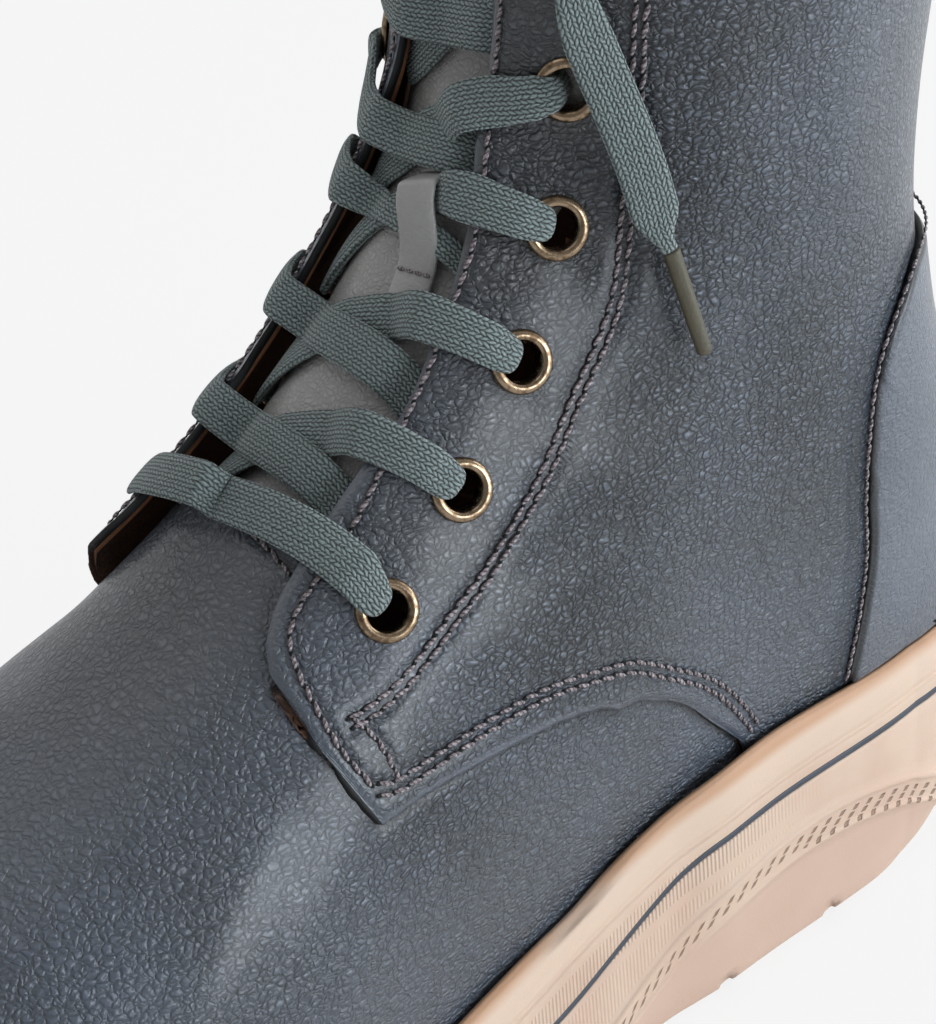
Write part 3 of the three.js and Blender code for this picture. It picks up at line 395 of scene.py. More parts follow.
def pebbled_leather(name, base, dark, light, warm, rough, cell, depth):
    """Chrome-tanned cowhide, milled so that its grain draws into domed pebbles a little over a
    millimetre across: a soft bluish gloss on the pebbles, duller valleys in wavy lines, and painted
    shade darkening the valleys, the crease lines and the seams"""
    material, tree, main = shader(name, Roughness=rough)
    main.inputs["Specular IOR Level"].default_value = 0.6
    main.inputs["Coat Weight"].default_value = 0.5
    main.inputs["Coat Roughness"].default_value = 0.24
    level = millimetres(tree)
    # the pebbles are wider than they are tall
    place = millimetres(tree, (900, 900, 1300))
    coarse = add(tree, "Attribute", attribute_name="coarse").outputs["Fac"]
    warmth = add(tree, "Attribute", attribute_name="warm").outputs["Fac"]
    bend = add(tree, "TexNoise", {"Vector": level, "Scale": 0.4, "Detail": 2.0})
    bend = add(tree, "VectorMath", {0: bend.outputs["Color"], 1: (0.5, 0.5, 0.5)},
               operation="SUBTRACT").outputs[0]
    bend = add(tree, "VectorMath", {0: bend, "Scale": 2.4}, operation="SCALE").outputs[0]
    bent = add(tree, "VectorMath", {0: place, 1: bend}, operation="ADD").outputs[0]
    ragged = add(tree, "TexNoise", {"Vector": level, "Scale": 1.1, "Detail": 1.0})
    ragged = add(tree, "VectorMath", {0: ragged.outputs["Color"], 1: (0.5, 0.5, 0.5)},
                 operation="SUBTRACT").outputs[0]
    bent = add(tree, "VectorMath", {0: ragged, 1: (0.2, 0.2, 0.2), 2: bent},
               operation="MULTIPLY_ADD").outputs[0]
    edge = add(tree, "TexVoronoi", {"Vector": bent, "Scale": 1 / cell, "Randomness": 0.8},
               feature="DISTANCE_TO_EDGE").outputs["Distance"]
    middle = add(tree, "TexVoronoi", {"Vector": bent, "Scale": 1 / cell, "Randomness": 0.8},
                 feature="F1")
    pores = add(tree, "TexNoise", {"Vector": level, "Scale": 2.2, "Detail": 3.0}).outputs[0]
    long_way = add(tree, "Mapping", {"Vector": bent, "Scale": (0.55, 0.55, 1.5)}).outputs[0]
    fold = add(tree, "TexNoise", {"Vector": long_way, "Scale": 0.3, "Detail": 1.0}).outputs[0]
    fold = add(tree, "ABSOLUTE", add(tree, "SUBTRACT", fold, 0.5))
    fold = add(tree, "MapRange", fold, 0.0, 0.09)
    valley = add(tree, "MapRange", edge, 0.0, 0.3)
    dome = add(tree, "POWER", add(tree, "DIVIDE", middle.outputs["Distance"], 0.75), 2.0)
    tall = add(tree, "MULTIPLY_ADD", dome, -0.7, add(tree, "MULTIPLY", valley, 0.4))
    tall = add(tree, "MULTIPLY_ADD", fold, 0.5, tall)
    low = add(tree, "MULTIPLY_ADD", valley, 0.1, add(tree, "MULTIPLY", pores, 0.12))
    height = add(tree, "MULTIPLY_ADD", tall, coarse, low)
    patches = add(tree, "TexNoise", {"Vector": level, "Scale": 0.03, "Detail": 3.0}).outputs[0]
    tone = add(tree, "Mix", add(tree, "MapRange", patches, 0.35, 0.65), colour(base), colour(light))
    single = add(tree, "SeparateColor", {0: middle.outputs["Color"]}).outputs[0]
    tone = add(tree, "Mix", add(tree, "MULTIPLY", single, 0.5), tone, colour(light))
    tone = add(tree, "Mix", add(tree, "MULTIPLY", warmth, 0.85), tone, colour(warm))
    # Painted shade: the colour darkens in the valleys between the pebbles, along the wavy crease
    # lines and where the seam attribute marks painted shadow along seams and the counter's edge
    painted_shade = add(tree, "MULTIPLY", add(tree, "MapRange", edge, 0.26, 0.03, 0.0, 0.95), coarse)
    crease_shade = add(tree, "MULTIPLY", add(tree, "SUBTRACT", 1.0, fold), coarse)
    painted_shade = add(tree, "MAXIMUM", painted_shade, add(tree, "MULTIPLY", crease_shade, 0.7))
    seam = add(tree, "Attribute", attribute_name="seam").outputs["Fac"]
    painted_shade = add(tree, "MAXIMUM", painted_shade, seam)
    tone = add(tree, "Mix", painted_shade, tone, colour(dark))
    speck = add(tree, "MapRange", pores, 0.62, 0.72, 0.0, 0.3)
    tone = add(tree, "Mix", speck, tone, colour(light))
    gloss = add(tree, "MULTIPLY_ADD", painted_shade, 0.3, rough - 0.06)
    gloss = add(tree, "MULTIPLY_ADD", pores, 0.12, gloss)
    tree.links.new(gloss, main.inputs["Roughness"])
    dress(tree, main, tone, height, depth)
    return material


def plain_leather(name, base, dark, rough, scale, depth):
    """Smooth or split leather: a fine even grain with soft darker cloudiness"""
    material, tree, main = shader(name, Roughness=rough)
    place = millimetres(tree)
    grain = add(tree, "TexNoise", {"Vector": place, "Scale": scale, "Detail": 4.0,
                                             "Roughness": 0.6}).outputs[0]
    cloud = add(tree, "TexNoise", {"Vector": place, "Scale": 0.08, "Detail": 2.0}).outputs[0]
    tone = add(tree, "Mix", add(tree, "MapRange", cloud, 0.35, 0.7), colour(base), colour(dark))
    tone = add(tree, "Mix", add(tree, "MapRange", grain, 0.4, 0.62, 0.5, 0.0), tone, colour(dark))
    dress(tree, main, tone, grain, depth)
    return material


def braided_lace(name):
    """Flat tubular braid of waxed cotton: slanted plaits about a millimetre long, light where the
    yarn turns up and darkened with painted shade to nearly black in the gaps"""
    material, tree, main = shader(name, Roughness=0.78)
    main.inputs["Sheen Weight"].default_value = 0.25
    main.inputs["Sheen Roughness"].default_value = 0.5
    uv = add(tree, "UVMap", uv_map="Lace").outputs[0]
    parts = add(tree, "SeparateXYZ", {0: uv})
    across, along = parts.outputs[0], parts.outputs[1]
    wander = add(tree, "TexNoise", {"Vector": uv, "Scale": 0.8, "Detail": 2.0}).outputs[0]
    wander = add(tree, "SUBTRACT", wander, 0.5)
    column = add(tree, "DIVIDE", add(tree, "MULTIPLY_ADD", wander, 0.5, across), 0.66)
    number = add(tree, "FLOOR", column)
    parity = add(tree, "PINGPONG", number, 1.0)
    inside = add(tree, "SUBTRACT", add(tree, "FRACT", column), 0.5)
    slant = add(tree, "MULTIPLY_ADD", parity, 2.0, -1.0)
    lean = add(tree, "MULTIPLY", add(tree, "MULTIPLY", inside, slant), 0.75)
    row = add(tree, "DIVIDE", add(tree, "MULTIPLY_ADD", wander, 0.9, along), 0.95)
    row = add(tree, "ADD", add(tree, "MULTIPLY_ADD", parity, 0.5, row), lean)
    step = add(tree, "SUBTRACT", add(tree, "FRACT", row), 0.5)
    round_a = add(tree, "MULTIPLY", step, step)
    round_b = add(tree, "MULTIPLY", inside, inside)
    plait = add(tree, "SUBTRACT", 1.0, add(tree, "MULTIPLY_ADD", round_a, 2.6,
                      add(tree, "MULTIPLY", round_b, 3.0)))
    fibre = add(tree, "TexNoise", {"Vector": add(tree, "Mapping",
                {"Vector": uv, "Scale": (9, 2.0, 1)}).outputs[0], "Scale": 1.0, "Detail": 4.0,
                "Roughness": 0.7}).outputs[0]
    height = add(tree, "MULTIPLY_ADD", fibre, 0.35, plait)
    # Painted shade: the colour falls towards near black where the plaits sink into their gaps
    tone = add(tree, "Mix", add(tree, "MapRange", plait, 0.15, 0.95), colour("#202a29"),
               colour("#879898"))
    tone = add(tree, "Mix", add(tree, "MapRange", fibre, 0.52, 0.72, 0.0, 0.8), tone,
               colour("#d0d9d7"))
    dress(tree, main, tone, height, 0.32)
    return material


def moulded_sole(name):
    """Moulded rubber foam, tan, matt: a smooth skin with a faint mottle, fine upright ribs under
    the rim's ledge and small slanted holes along the arched band"""
    material, tree, main = shader(name, Roughness=0.55)
    main.inputs["Subsurface Weight"].default_value = 0.08
    main.inputs["Subsurface Radius"].default_value = (0.004, 0.002, 0.001)
    wall = add(tree, "SeparateXYZ", {0: add(tree, "UVMap", uv_map="Wall").outputs[0]})
    along, drop = wall.outputs[0], wall.outputs[1]
    arch = add(tree, "SeparateXYZ", {0: add(tree, "UVMap", uv_map="Arch").outputs[0]})
    run, deep = arch.outputs[0], arch.outputs[1]
    ahead = add(tree, "Attribute", attribute_name="ahead").outputs["Fac"]
    # ribs 0.85 mm apart, from the ledge to the pinstripe and fainter below it
    wave = add(tree, "SINE", add(tree, "MULTIPLY", along, 2 * math.pi / 0.85))
    zone = add(tree, "MULTIPLY", add(tree, "MapRange", drop, 9.3, 9.9),
               add(tree, "MapRange", drop, 15.6, 15.0))
    below = add(tree, "MULTIPLY", add(tree, "MapRange", drop, 17.3, 17.9),
                add(tree, "MapRange", deep, -1.6, -2.2))
    zone = add(tree, "MULTIPLY_ADD", below, 0.55, zone)
    ribs = add(tree, "MULTIPLY", add(tree, "MULTIPLY", wave, zone), ahead)
    # holes 3.5 mm apart along the band, in slanted files of two, or three at the heel
    lean = add(tree, "MULTIPLY_ADD", deep, -0.2, add(tree, "DIVIDE", run, 3.5))
    file = add(tree, "ABSOLUTE", add(tree, "SUBTRACT", add(tree, "FRACT", lean), 0.5))
    lines = add(tree, "DIVIDE", add(tree, "SUBTRACT", deep, 1.5), 1.5)
    last_line = add(tree, "MapRange", ahead, 0.0, 0.35, 3.0, 2.0)
    within = add(tree, "MULTIPLY", add(tree, "MapRange", lines, -0.02, 0.02),
                 add(tree, "LESS_THAN", lines, last_line))
    line = add(tree, "ABSOLUTE", add(tree, "SUBTRACT", add(tree, "FRACT", lines), 0.5))
    hole = add(tree, "MULTIPLY", add(tree, "MapRange", file, 0.19, 0.1),
               add(tree, "MapRange", line, 0.4, 0.24))
    hole = add(tree, "MULTIPLY", hole, within)
    place = millimetres(tree)
    mottle = add(tree, "TexNoise", {"Vector": place, "Scale": 0.05, "Detail": 3.0}).outputs[0]
    skin_grain = add(tree, "TexNoise", {"Vector": place, "Scale": 3.0, "Detail": 3.0}).outputs[0]
    tone = add(tree, "Mix", add(tree, "MapRange", mottle, 0.35, 0.65), colour("#cfb6a2"),
               colour("#c8ac98"))
    # the rim is paler, its top edge browner, the panel under the band pinker
    tone = add(tree, "Mix", add(tree, "MapRange", drop, 9.0, 5.0, 0.0, 0.75), tone,
               colour("#d4bda9"))
    tone = add(tree, "Mix", add(tree, "MapRange", drop, 1.6, -0.6, 0.0, 0.8), tone,
               colour("#b98b66"))
    tone = add(tree, "Mix", add(tree, "MapRange", deep, 6.0, 8.0, 0.0, 0.6), tone,
               colour("#c5a897"))
    # the holes darkened with painted shade
    tone = add(tree, "Mix", add(tree, "MULTIPLY", hole, 0.75), tone, colour("#7d5f49"))
    height = add(tree, "MULTIPLY_ADD", ribs, 0.09, add(tree, "MULTIPLY", hole, -0.5))
    height = add(tree, "MULTIPLY_ADD", skin_grain, 0.05, height)
    dress(tree, main, tone, height, 1)
    return material


def antique_brass(name):
    """Pressed brass, lacquered: warm, mirror-like on the rolled flange, in cloudy patches of browner
    tone
    """
    material, tree, main = shader(name, Metallic=1.0, Roughness=0.2)
    place = millimetres(tree)
    cloud = add(tree, "TexNoise", {"Vector": place, "Scale": 0.9, "Detail": 4.0}).outputs[0]
    tone = add(tree, "Mix", add(tree, "MapRange", cloud, 0.4, 0.7), colour("#a08b73"),
               colour("#6b5844"))
    tree.links.new(tone, main.inputs["Base Color"])
    tree.links.new(add(tree, "MapRange", cloud, 0.35, 0.7, 0.2, 0.36), main.inputs["Roughness"])
    return material


def twisted_thread(name):
    """Bonded polyester thread, grey-lilac: satin, its twist too fine to draw but for a mottle"""
    material, tree, main = shader(name, Roughness=0.5)
    place = millimetres(tree)
    ply = add(tree, "TexNoise", {"Vector": place, "Scale": 2.4, "Detail": 3.0}).outputs[0]
    tone = add(tree, "Mix", add(tree, "MapRange", ply, 0.38, 0.62), colour("#6f666a"),
               colour("#a89da0"))
    twist = add(tree, "SeparateXYZ", {0: add(tree, "UVMap", uv_map="Twist").outputs[0]})
    turn = add(tree, "MULTIPLY_ADD", twist.outputs[0], 1.3,
               add(tree, "MULTIPLY", twist.outputs[1], 2.0))
    strand = add(tree, "ABSOLUTE", add(tree, "SINE", add(tree, "MULTIPLY", turn, math.pi)))
    # Painted shade darkens the grooves between the twisted plies
    tone = add(tree, "Mix", add(tree, "MapRange", strand, 0.0, 0.5, 0.8, 0.0), tone,
               colour("#2a2729"))
    dress(tree, main, tone, strand, 0.25)
    return material


LEATHER_BLUE = pebbled_leather("pebbled_cowhide", "#40474f", "#0f1215", "#525b68", "#4d4d4e", 0.32,
                               1.2, 0.62)
LEATHER_GREY = pebbled_leather("grey_cowhide", "#969594", "#4a4847", "#a09f9d", "#9a9896", 0.5, 1.0,
                               0.4)
EDGE_BLACK = plain_leather("inked_cut_edge", "#1a1b1e", "#0e0f11", 0.6, 3.0, 0.1)
LINING_TAN = plain_leather("pigskin_lining", "#5c3d2a", "#2e1d14", 0.7, 1.2, 0.15)
LINING_EDGE = plain_leather("lining_cut_edge", "#8f6040", "#6a452c", 0.8, 3.0, 0.1)
LACE = braided_lace("waxed_cotton_braid")
SOLE = moulded_sole("moulded_rubber_foam")
STRIPE = plain_leather("moulded_rubber_stripe", "#3c424d", "#353b45", 0.5, 2.0, 0.03)
BRASS = antique_brass("lacquered_brass")
THREAD = twisted_thread("bonded_thread")
# Near black, as painted shade for the needle holes
HOLE_SHADE = shader("needle_hole_shade", Roughness=0.9, Base_Color=colour("#0b0c0e"))[0]
TAG = plain_leather("acetate_tag", "#55503f", "#474334", 0.45, 1.5, 0.12)

# The free lace end comes first: its middle points given as in the part's source
FREE_END = ((40.8, 19.6, 186.4), (42.3, 20.8, 186.5), (43.6, 22.1, 186.4), (44.5, 23.6, 185.4),
            (44.7, 24.9, 182.6), (43.7, 25.7, 177.6), (42.2, 26.5, 172.6), (41.2, 27.7, 168.4),
            (40.3, 28.9, 164.4), (39.3, 30, 160), (38.3, 30.8, 155.6), (37.5, 31.4, 151.4),
            (36.8, 31.9, 147.6), (35.6, 32.4, 144.4))
TAG_FROM = np.array([35.2, 32.5, 143.5])
TAG_TO = np.array([32, 35.6, 127.2])


def spline(points, count):
    """Even samples on a Catmull-Rom curve through the points"""
    p = np.array(points, float)
    p = np.vstack([2 * p[0] - p[1], p, 2 * p[-1] - p[-2]])
    out = []
    for k in range(1, len(p) - 2):
        t = np.linspace(0, 1, 12, endpoint=False)[:, None]
        a, b, c, d = p[k - 1:k + 3]
        out.append(0.5 * (2 * b + (c - a) * t + (2 * a - 5 * b + 4 * c - d) * t**2
                          + (3 * b - a - 3 * c + d) * t**3))
    line = np.vstack(out + [p[-2:-1]])
    run = np.concatenate([[0], np.cumsum(np.linalg.norm(np.diff(line, axis=0), axis=1))])
    at = np.linspace(0, run[-1], count)
    return np.stack([np.interp(at, run, line[:, k]) for k in range(p.shape[1])], 1)


def strap(name, middle, up, width, thick, square=2.6, around=28, cup=0.0):
    """A flat strap along a path: width and thickness at each sample, rounded edges, closed ends"""
    count = len(middle)
    along = unit(np.gradient(middle, axis=0))
    across = unit(np.cross(along, up))
    top = np.cross(across, along)
    width = np.broadcast_to(width, count)
    thick = np.broadcast_to(thick, count)
    run = np.concatenate([[0], np.cumsum(np.linalg.norm(np.diff(middle, axis=0), axis=1))])

    def place(s, t):
        at = t * (count + 1)
        k = np.clip(np.round(at).astype(int) - 1, 0, count - 1)
        closed = ((np.round(at) < 0.5) | (np.round(at) > count + 0.5))
        turn = s * 2 * np.pi
        c, d = np.cos(turn), np.sin(turn)
        a = 0.5 * np.sign(c) * np.abs(c) ** (2 / square) * width[k]
        b = 0.5 * np.sign(d) * np.abs(d) ** 0.8 * thick[k]
        b += cup * (a / np.maximum(width[k], 1e-3)) ** 2
        a, b = np.where(closed, 0, a), np.where(closed, 0, b)
        points = middle[k] + across[k] * a[:, None] + top[k] * b[:, None]
        side = np.where(d >= 0, 0.0, 0.4)
        return points, [np.stack([a + side, run[k]], 1)]

    return sheet(name, around, count + 1, place, maps=("Lace",))


free_middle = spline(FREE_END, 110)
steps = np.linspace(0, 1, 110)
free_up = unit(mix(np.array([[0, 0, 1.0]]), np.array([[0.5, 0.86, 0.1]]),
                   smooth(steps / 0.25)[:, None]))
free_width = LACE_WIDTH * mix(0.55, 1, smooth((steps - 0.04) / 0.3))
free_width *= mix(1, 0.36, smooth((steps - 0.86) / 0.13))
free_thick = LACE_THICK * mix(1.35, 1, smooth(steps / 0.3))
free_thick *= mix(1, 1.3, smooth((steps - 0.86) / 0.13))
free_end = link("lace_free_end",
                strap("lace_free_end", free_middle, free_up, free_width, free_thick),
                LACE, "lace_end")

tag_line = np.linspace(TAG_FROM - unit(TAG_TO - TAG_FROM) * 0.6, TAG_TO, 40)
tag_size = 2.7 * mix(1.0, 0.88, np.linspace(0, 1, 40)) * np.sqrt(np.clip(
    1 - (np.maximum(np.linspace(0, 1, 40) - 0.96, 0) / 0.05) ** 2, 0.2, 1))
tag = link("lace_tag_dressed",
           strap("lace_tag_dressed", tag_line, np.array([[0.5, 0.86, 0.1]]), tag_size,
           tag_size * 0.8, square=2.0, around=20), TAG, "lace_tag")

# Stitch rows, as row and v for the outer side; the inner side mirrors them
FLAP_ROW = ((7.46, 0.322), (7.37, 0.28), (7.34, 0.245), (7.345, 0.2), (7.38, 0.172), (7.45, 0.156),
            (7.6, 0.148),
            (7.82, 0.148), (8.14, 0.151), (8.54, 0.147), (8.96, 0.141), (9.46, 0.136), (10, 0.128),
            (10.73, 0.119), (12.2, 0.102), (14, 0.088), (17, 0.088), (19.85, 0.09))
EYESTAY = ((7.5, 0.27), (7.75, 0.285), (8.1, 0.295), (8.55, 0.3), (8.88, 0.305), (9.55, 0.305),
           (10.18, 0.295),
           (11.15, 0.285), (12.95, 0.265), (16.05, 0.265), (17.32, 0.265), (19.9, 0.268))
ARCH_ROW = ((7.48, 0.335), (7.62, 0.349), (7.94, 0.367), (8.43, 0.395), (8.87, 0.426),
            (9.25, 0.462), (9.5, 0.49),
            (9.69, 0.575), (9.89, 0.703), (9.99, 0.811), (10.05, 0.95))
TIP_BOX = ((7.52, 0.262), (7.62, 0.3), (7.66, 0.345))
COUNTER_EDGE = ((10.6, 0.98), (10.77, 0.892), (11.09, 0.786), (11.43, 0.706), (11.75, 0.641),
                (12.44, 0.574),
                (13.82, 0.563), (14.79, 0.592), (15.7, 0.641), (16.31, 0.697), (16.75, 0.8),
                (16.95, 0.9),
                (17, 1.0))


def table_line(pairs, side, count=300):
    """A smooth line on the surface through a table of rows and places"""
    rows_v = np.array(pairs, float)
    line = spline(last_point(rows_v[:, 0], side * rows_v[:, 1]), count)
    knots = np.linspace(0, 1, len(rows_v))
    run = np.linalg.norm(np.diff(last_point(*rows_v.T), axis=0), axis=1)
    run = np.concatenate([[0], np.cumsum(run)])
    at = np.interp(np.linspace(0, run[-1], count), run, knots)
    u, v = np.interp(at, knots, rows_v[:, 0]), side * np.interp(at, knots, rows_v[:, 1])
    h = 1e-3
    for _ in range(8):
        here = last_point(u, v)
        by_u = (last_point(np.minimum(u + h, LAST_ROW), v) - here) / h
        by_v = (here - last_point(u, v - side * h)) / (side * h)
        miss = line - here
        a, b, c = (by_u**2).sum(1) + 1e-9, (by_u * by_v).sum(1), (by_v**2).sum(1) + 1e-9
        e, f = (by_u * miss).sum(1), (by_v * miss).sum(1)
        det = np.maximum(a * c - b * b, 1e-6)
        u = np.clip(u + np.clip((c * e - b * f) / det, -0.1, 0.1), 7, LAST_ROW - 0.01)
        v = side * np.clip(side * (v + np.clip((a * f - b * e) / det, -0.03, 0.03)), 0.01, 1)
    return u, v


def shifted(points, normals, distance):
    """A line on the surface moved sideways by a distance"""
    sideways = unit(np.cross(unit(np.gradient(points, axis=0)), normals))
    return points + sideways * distance


rows = []        # points with outward directions, pitch, thread width


def stitch_row(u, v, off, pitch=2.5, thread=0.7, shift=0.0):
    normals = last_normal(u, v)
    points = skin(u, v, off)
    if shift:
        points = shifted(points, normals, shift)
    rows.append((points, normals, pitch, thread))


for side in (1, -1):
    for table, shifts in ((FLAP_ROW, (0,)), (EYESTAY, (0, -1.5)), (ARCH_ROW, (0, -1.7)),
                          (TIP_BOX, (0,))):
        u, v = table_line(table, side)
        for shift in shifts:
            stitch_row(u, v, quarter_out(u, v), shift=side * shift)
    u, v = table_line(COUNTER_EDGE, side)
    u, v = u[np.abs(v) < 0.965], v[np.abs(v) < 0.965]
    stitch_row(u, v, np.full(len(u), SEAM_STEP + GAP + 1.5), pitch=2.3, shift=-side * 2.0)
    v = side * np.linspace(0.09, 0.999, 160)
    stitch_row(np.full(160, 19.72), v, quarter_out(np.full(160, 19.72), v))
v = np.linspace(-0.135, 0.135, 60)
stitch_row(np.full(60, 7.68), v, np.zeros(60), pitch=2.6, thread=0.6)

STITCH_LINE = np.vstack([along_path(points, 0.7) for points, *_ in rows])

# Creases and swells of the leather: row, v, row, v, depth, half width.
# Depths above 0 are troughs, below 0 ridges.
CREASES = (
    (6.9, 0.30, 6.0, 0.46, 0.35, 5.0), (6.5, 0.18, 5.7, 0.34, 0.3, 6.0),
           (6.95, 0.44, 6.5, 0.62, -0.35, 6.0),
    (6.2, -0.1, 5.9, -0.4, 0.35, 5.0), (6.9, -0.2, 6.5, -0.5, 0.3, 5.0),
           (5.4, -0.1, 5.2, 0.2, -0.3, 9.0),
    (8.0, 0.26, 7.7, 0.34, -0.3, 4.0), (8.6, 0.34, 9.2, 0.43, -0.45, 5.0),
           (9.1, 0.33, 9.9, 0.40, 0.4, 4.5),
    (9.9, 0.34, 10.6, 0.48, -0.4, 6.0), (10.2, 0.52, 11.0, 0.62, 0.35, 6.0),
           (10.7, 0.36, 12.0, 0.43, 0.4, 5.0),
    (12.0, 0.30, 13.2, 0.36, -0.45, 6.0), (13.0, 0.42, 14.6, 0.40, 0.5, 6.0),
           (14.5, 0.33, 16.8, 0.36, -0.5, 7.0),
    (15.2, 0.50, 17.0, 0.46, 0.5, 7.0), (16.8, 0.55, 18.6, 0.5, -0.5, 8.0),
           (12.4, 0.5, 13.3, 0.52, -0.4, 7.0),
    (8.5, 0.19, 8.9, 0.26, 0.25, 3.0), (9.5, 0.17, 9.8, 0.25, 0.3, 3.5),
           (11.0, 0.14, 11.4, 0.22, 0.3, 3.5),
    (13.2, 0.13, 14.1, 0.2, 0.3, 3.5), (8.4, -0.30, 9.3, -0.42, -0.4, 5.0),
           (10.4, -0.36, 11.6, -0.44, 0.4, 6.0),
    (13.0, -0.4, 14.8, -0.42, 0.45, 7.0), (15.0, -0.5, 17.2, -0.48, -0.45, 8.0),
           (11.6, 0.8, 12.4, 0.75, 0.3, 6.0),
)


def relief(points, strength=1.0):
    """How far creases and stitches move the leather outwards at each point"""
    out = np.zeros(len(points))
    for u0, v0, u1, v1, depth, reach in CREASES:
        t = np.linspace(0, 1, 12)
        line = last_point(mix(u0, u1, t), mix(v0, v1, t))
        square = ((points[:, None] - line[None]) ** 2).sum(-1).min(1)
        out -= strength * depth * np.exp(-square / reach**2)
    distance = nearest(points, STITCH_LINE)
    return out - 0.34 * np.exp(-(distance / 1.1) ** 2)


# Where the grain is drawn into coarse pebbles, and where the leather looks warmer: spots with
# a reach in millimetres and an amount
COARSE_SPOTS = ((62, 34, 92, 20, 1.0), (45, 32, 120, 22, 1.0), (36, 32, 150, 24, 0.95),
                (30, 33, 175, 26, 0.85),
                (15, 38, 110, 24, 0.85), (90, 36, 76, 16, 0.85), (60, -30, 100, 40, 0.8),
                (20, -35, 130, 60, 0.8),
                (-20, 30, 130, 30, 0.7))
WARM_SPOTS = ((75, 24, 112, 12, 0.8), (62, 22, 126, 12, 0.9), (50, 18, 145, 14, 1.0),
              (44, 17, 165, 14, 1.0),
              (42, 17, 185, 16, 1.0), (110, 0, 92, 26, 0.8), (95, 10, 98, 18, 0.6))


def spots(points, table, base):
    out = np.full(len(points), base)
    for x, y, z, reach, amount in table:
        near = np.exp(-(((points - (x, y, z)) ** 2).sum(1) / reach**2))
        out = np.maximum(out, base + (amount - base) * near)
    return out


def leather_values(points):
    return [spots(points, COARSE_SPOTS, 0.36), spots(points, WARM_SPOTS, 0.0)]


SOFT_REACH = 7


def soften(mesh, side):
    """Evens out the surface where its rows turn round the heel"""
    turn_line = [Vector(p) for p in last_point(float(HEEL_ROW), side * np.linspace(0.45, 1, 60))]
    bm = bmesh.new()
    bm.from_mesh(mesh)
    far = nearest([vert.co / MM for vert in bm.verts], turn_line)
    held = [vert for vert, one in zip(bm.verts, far)
            if one < SOFT_REACH and not vert.is_boundary and abs(vert.co.y) > 0.3 * MM]
    for _ in range(30):
        bmesh.ops.smooth_vert(bm, verts=held, factor=0.5, use_axis_x=True, use_axis_y=True,
                              use_axis_z=True)
    bm.to_mesh(mesh)
    bm.free()
    return mesh


def thicken(made, thickness, rim=0, inner=0):
    """A wall inwards from the outer face, its cut edges and inner side in their own materials"""
    wall = made.modifiers.new("wall", "SOLIDIFY")
    wall.thickness = thickness * MM
    wall.offset = -1
    wall.use_even_offset = False
    wall.material_offset = inner
    wall.material_offset_rim = rim
    return made


def out_of_last(point):
    """Roughly outwards: away from the middle line of the foot"""
    x, y, z = point
    return (0.0, y, z - 60) if x > 60 else (x - 5, y, 0)


# Vamp
def vamp_place(s, t):
    w = (2 * t - 1) * 1.04
    v = np.clip(w, -1, 1)
    drop = np.maximum(np.abs(w) - 1, 0) / 0.04 * LAP
    u = curve(VAMP_END, np.abs(v)) * s**0.8
    points = skin(u, v, np.zeros(len(u)))
    normals = last_normal(u, v)
    fade = 1 - smooth((np.abs(v) - 0.9) / 0.1)
    groove = 0.4 * np.exp(-(nearest(points, SEAM_LINES) / 1.3) ** 2)
    points = points + normals * (relief(points) * fade - groove)[:, None]
    points[:, 2] -= drop
    # the third value, for the seam attribute, is painted shadow along the arch seam under the
    # quarter's edge
    return points, leather_values(points) + [0.9 * np.exp(-(nearest(points, SEAM_LINES) / 1.3) ** 4)]


SEAM_U = np.linspace(7.2, 10, 200)
SEAM_V = np.where(SEAM_U < 7.45, np.interp(SEAM_U, *np.array(ARCH_TIP).T), curve(ARCH_SEAM, SEAM_U))
SEAM_LINES = np.vstack([last_point(SEAM_U, side * SEAM_V) for side in (1, -1)])
vamp = link("vamp", sheet("vamp", 210, 300, vamp_place, out_of_last, ("coarse", "warm", "seam")),
            [LEATHER_BLUE, LINING_TAN, EDGE_BLACK], "upper")
thicken(vamp, 1.5, rim=2, inner=1)

def punched(mesh, centres, radius):
    """Takes the faces round each centre out of a sheet"""
    bm = bmesh.new()
    bm.from_mesh(mesh)
    middles = np.array([face.calc_center_median() for face in bm.faces]) / MM
    near = nearest(middles, np.array(centres)) < radius
    bmesh.ops.delete(bm, geom=[face for face, gone in zip(bm.faces, near) if gone], context="FACES")
    bm.to_mesh(mesh)
    bm.free()
    return mesh


# Quarters: one sheet a side, in an outer layer and its lining
QUARTER_ROWS = np.concatenate([np.linspace(7.2, 7.45, 22)[:-1], np.linspace(7.45, 8, 20)[:-1],
                               np.linspace(8, 10, 60)[:-1], np.linspace(10, 13, 60)[:-1],
                               np.linspace(13, 20, 90)])
OUTER_LAYER = 1.3
EYELET_HOLE = 3.7


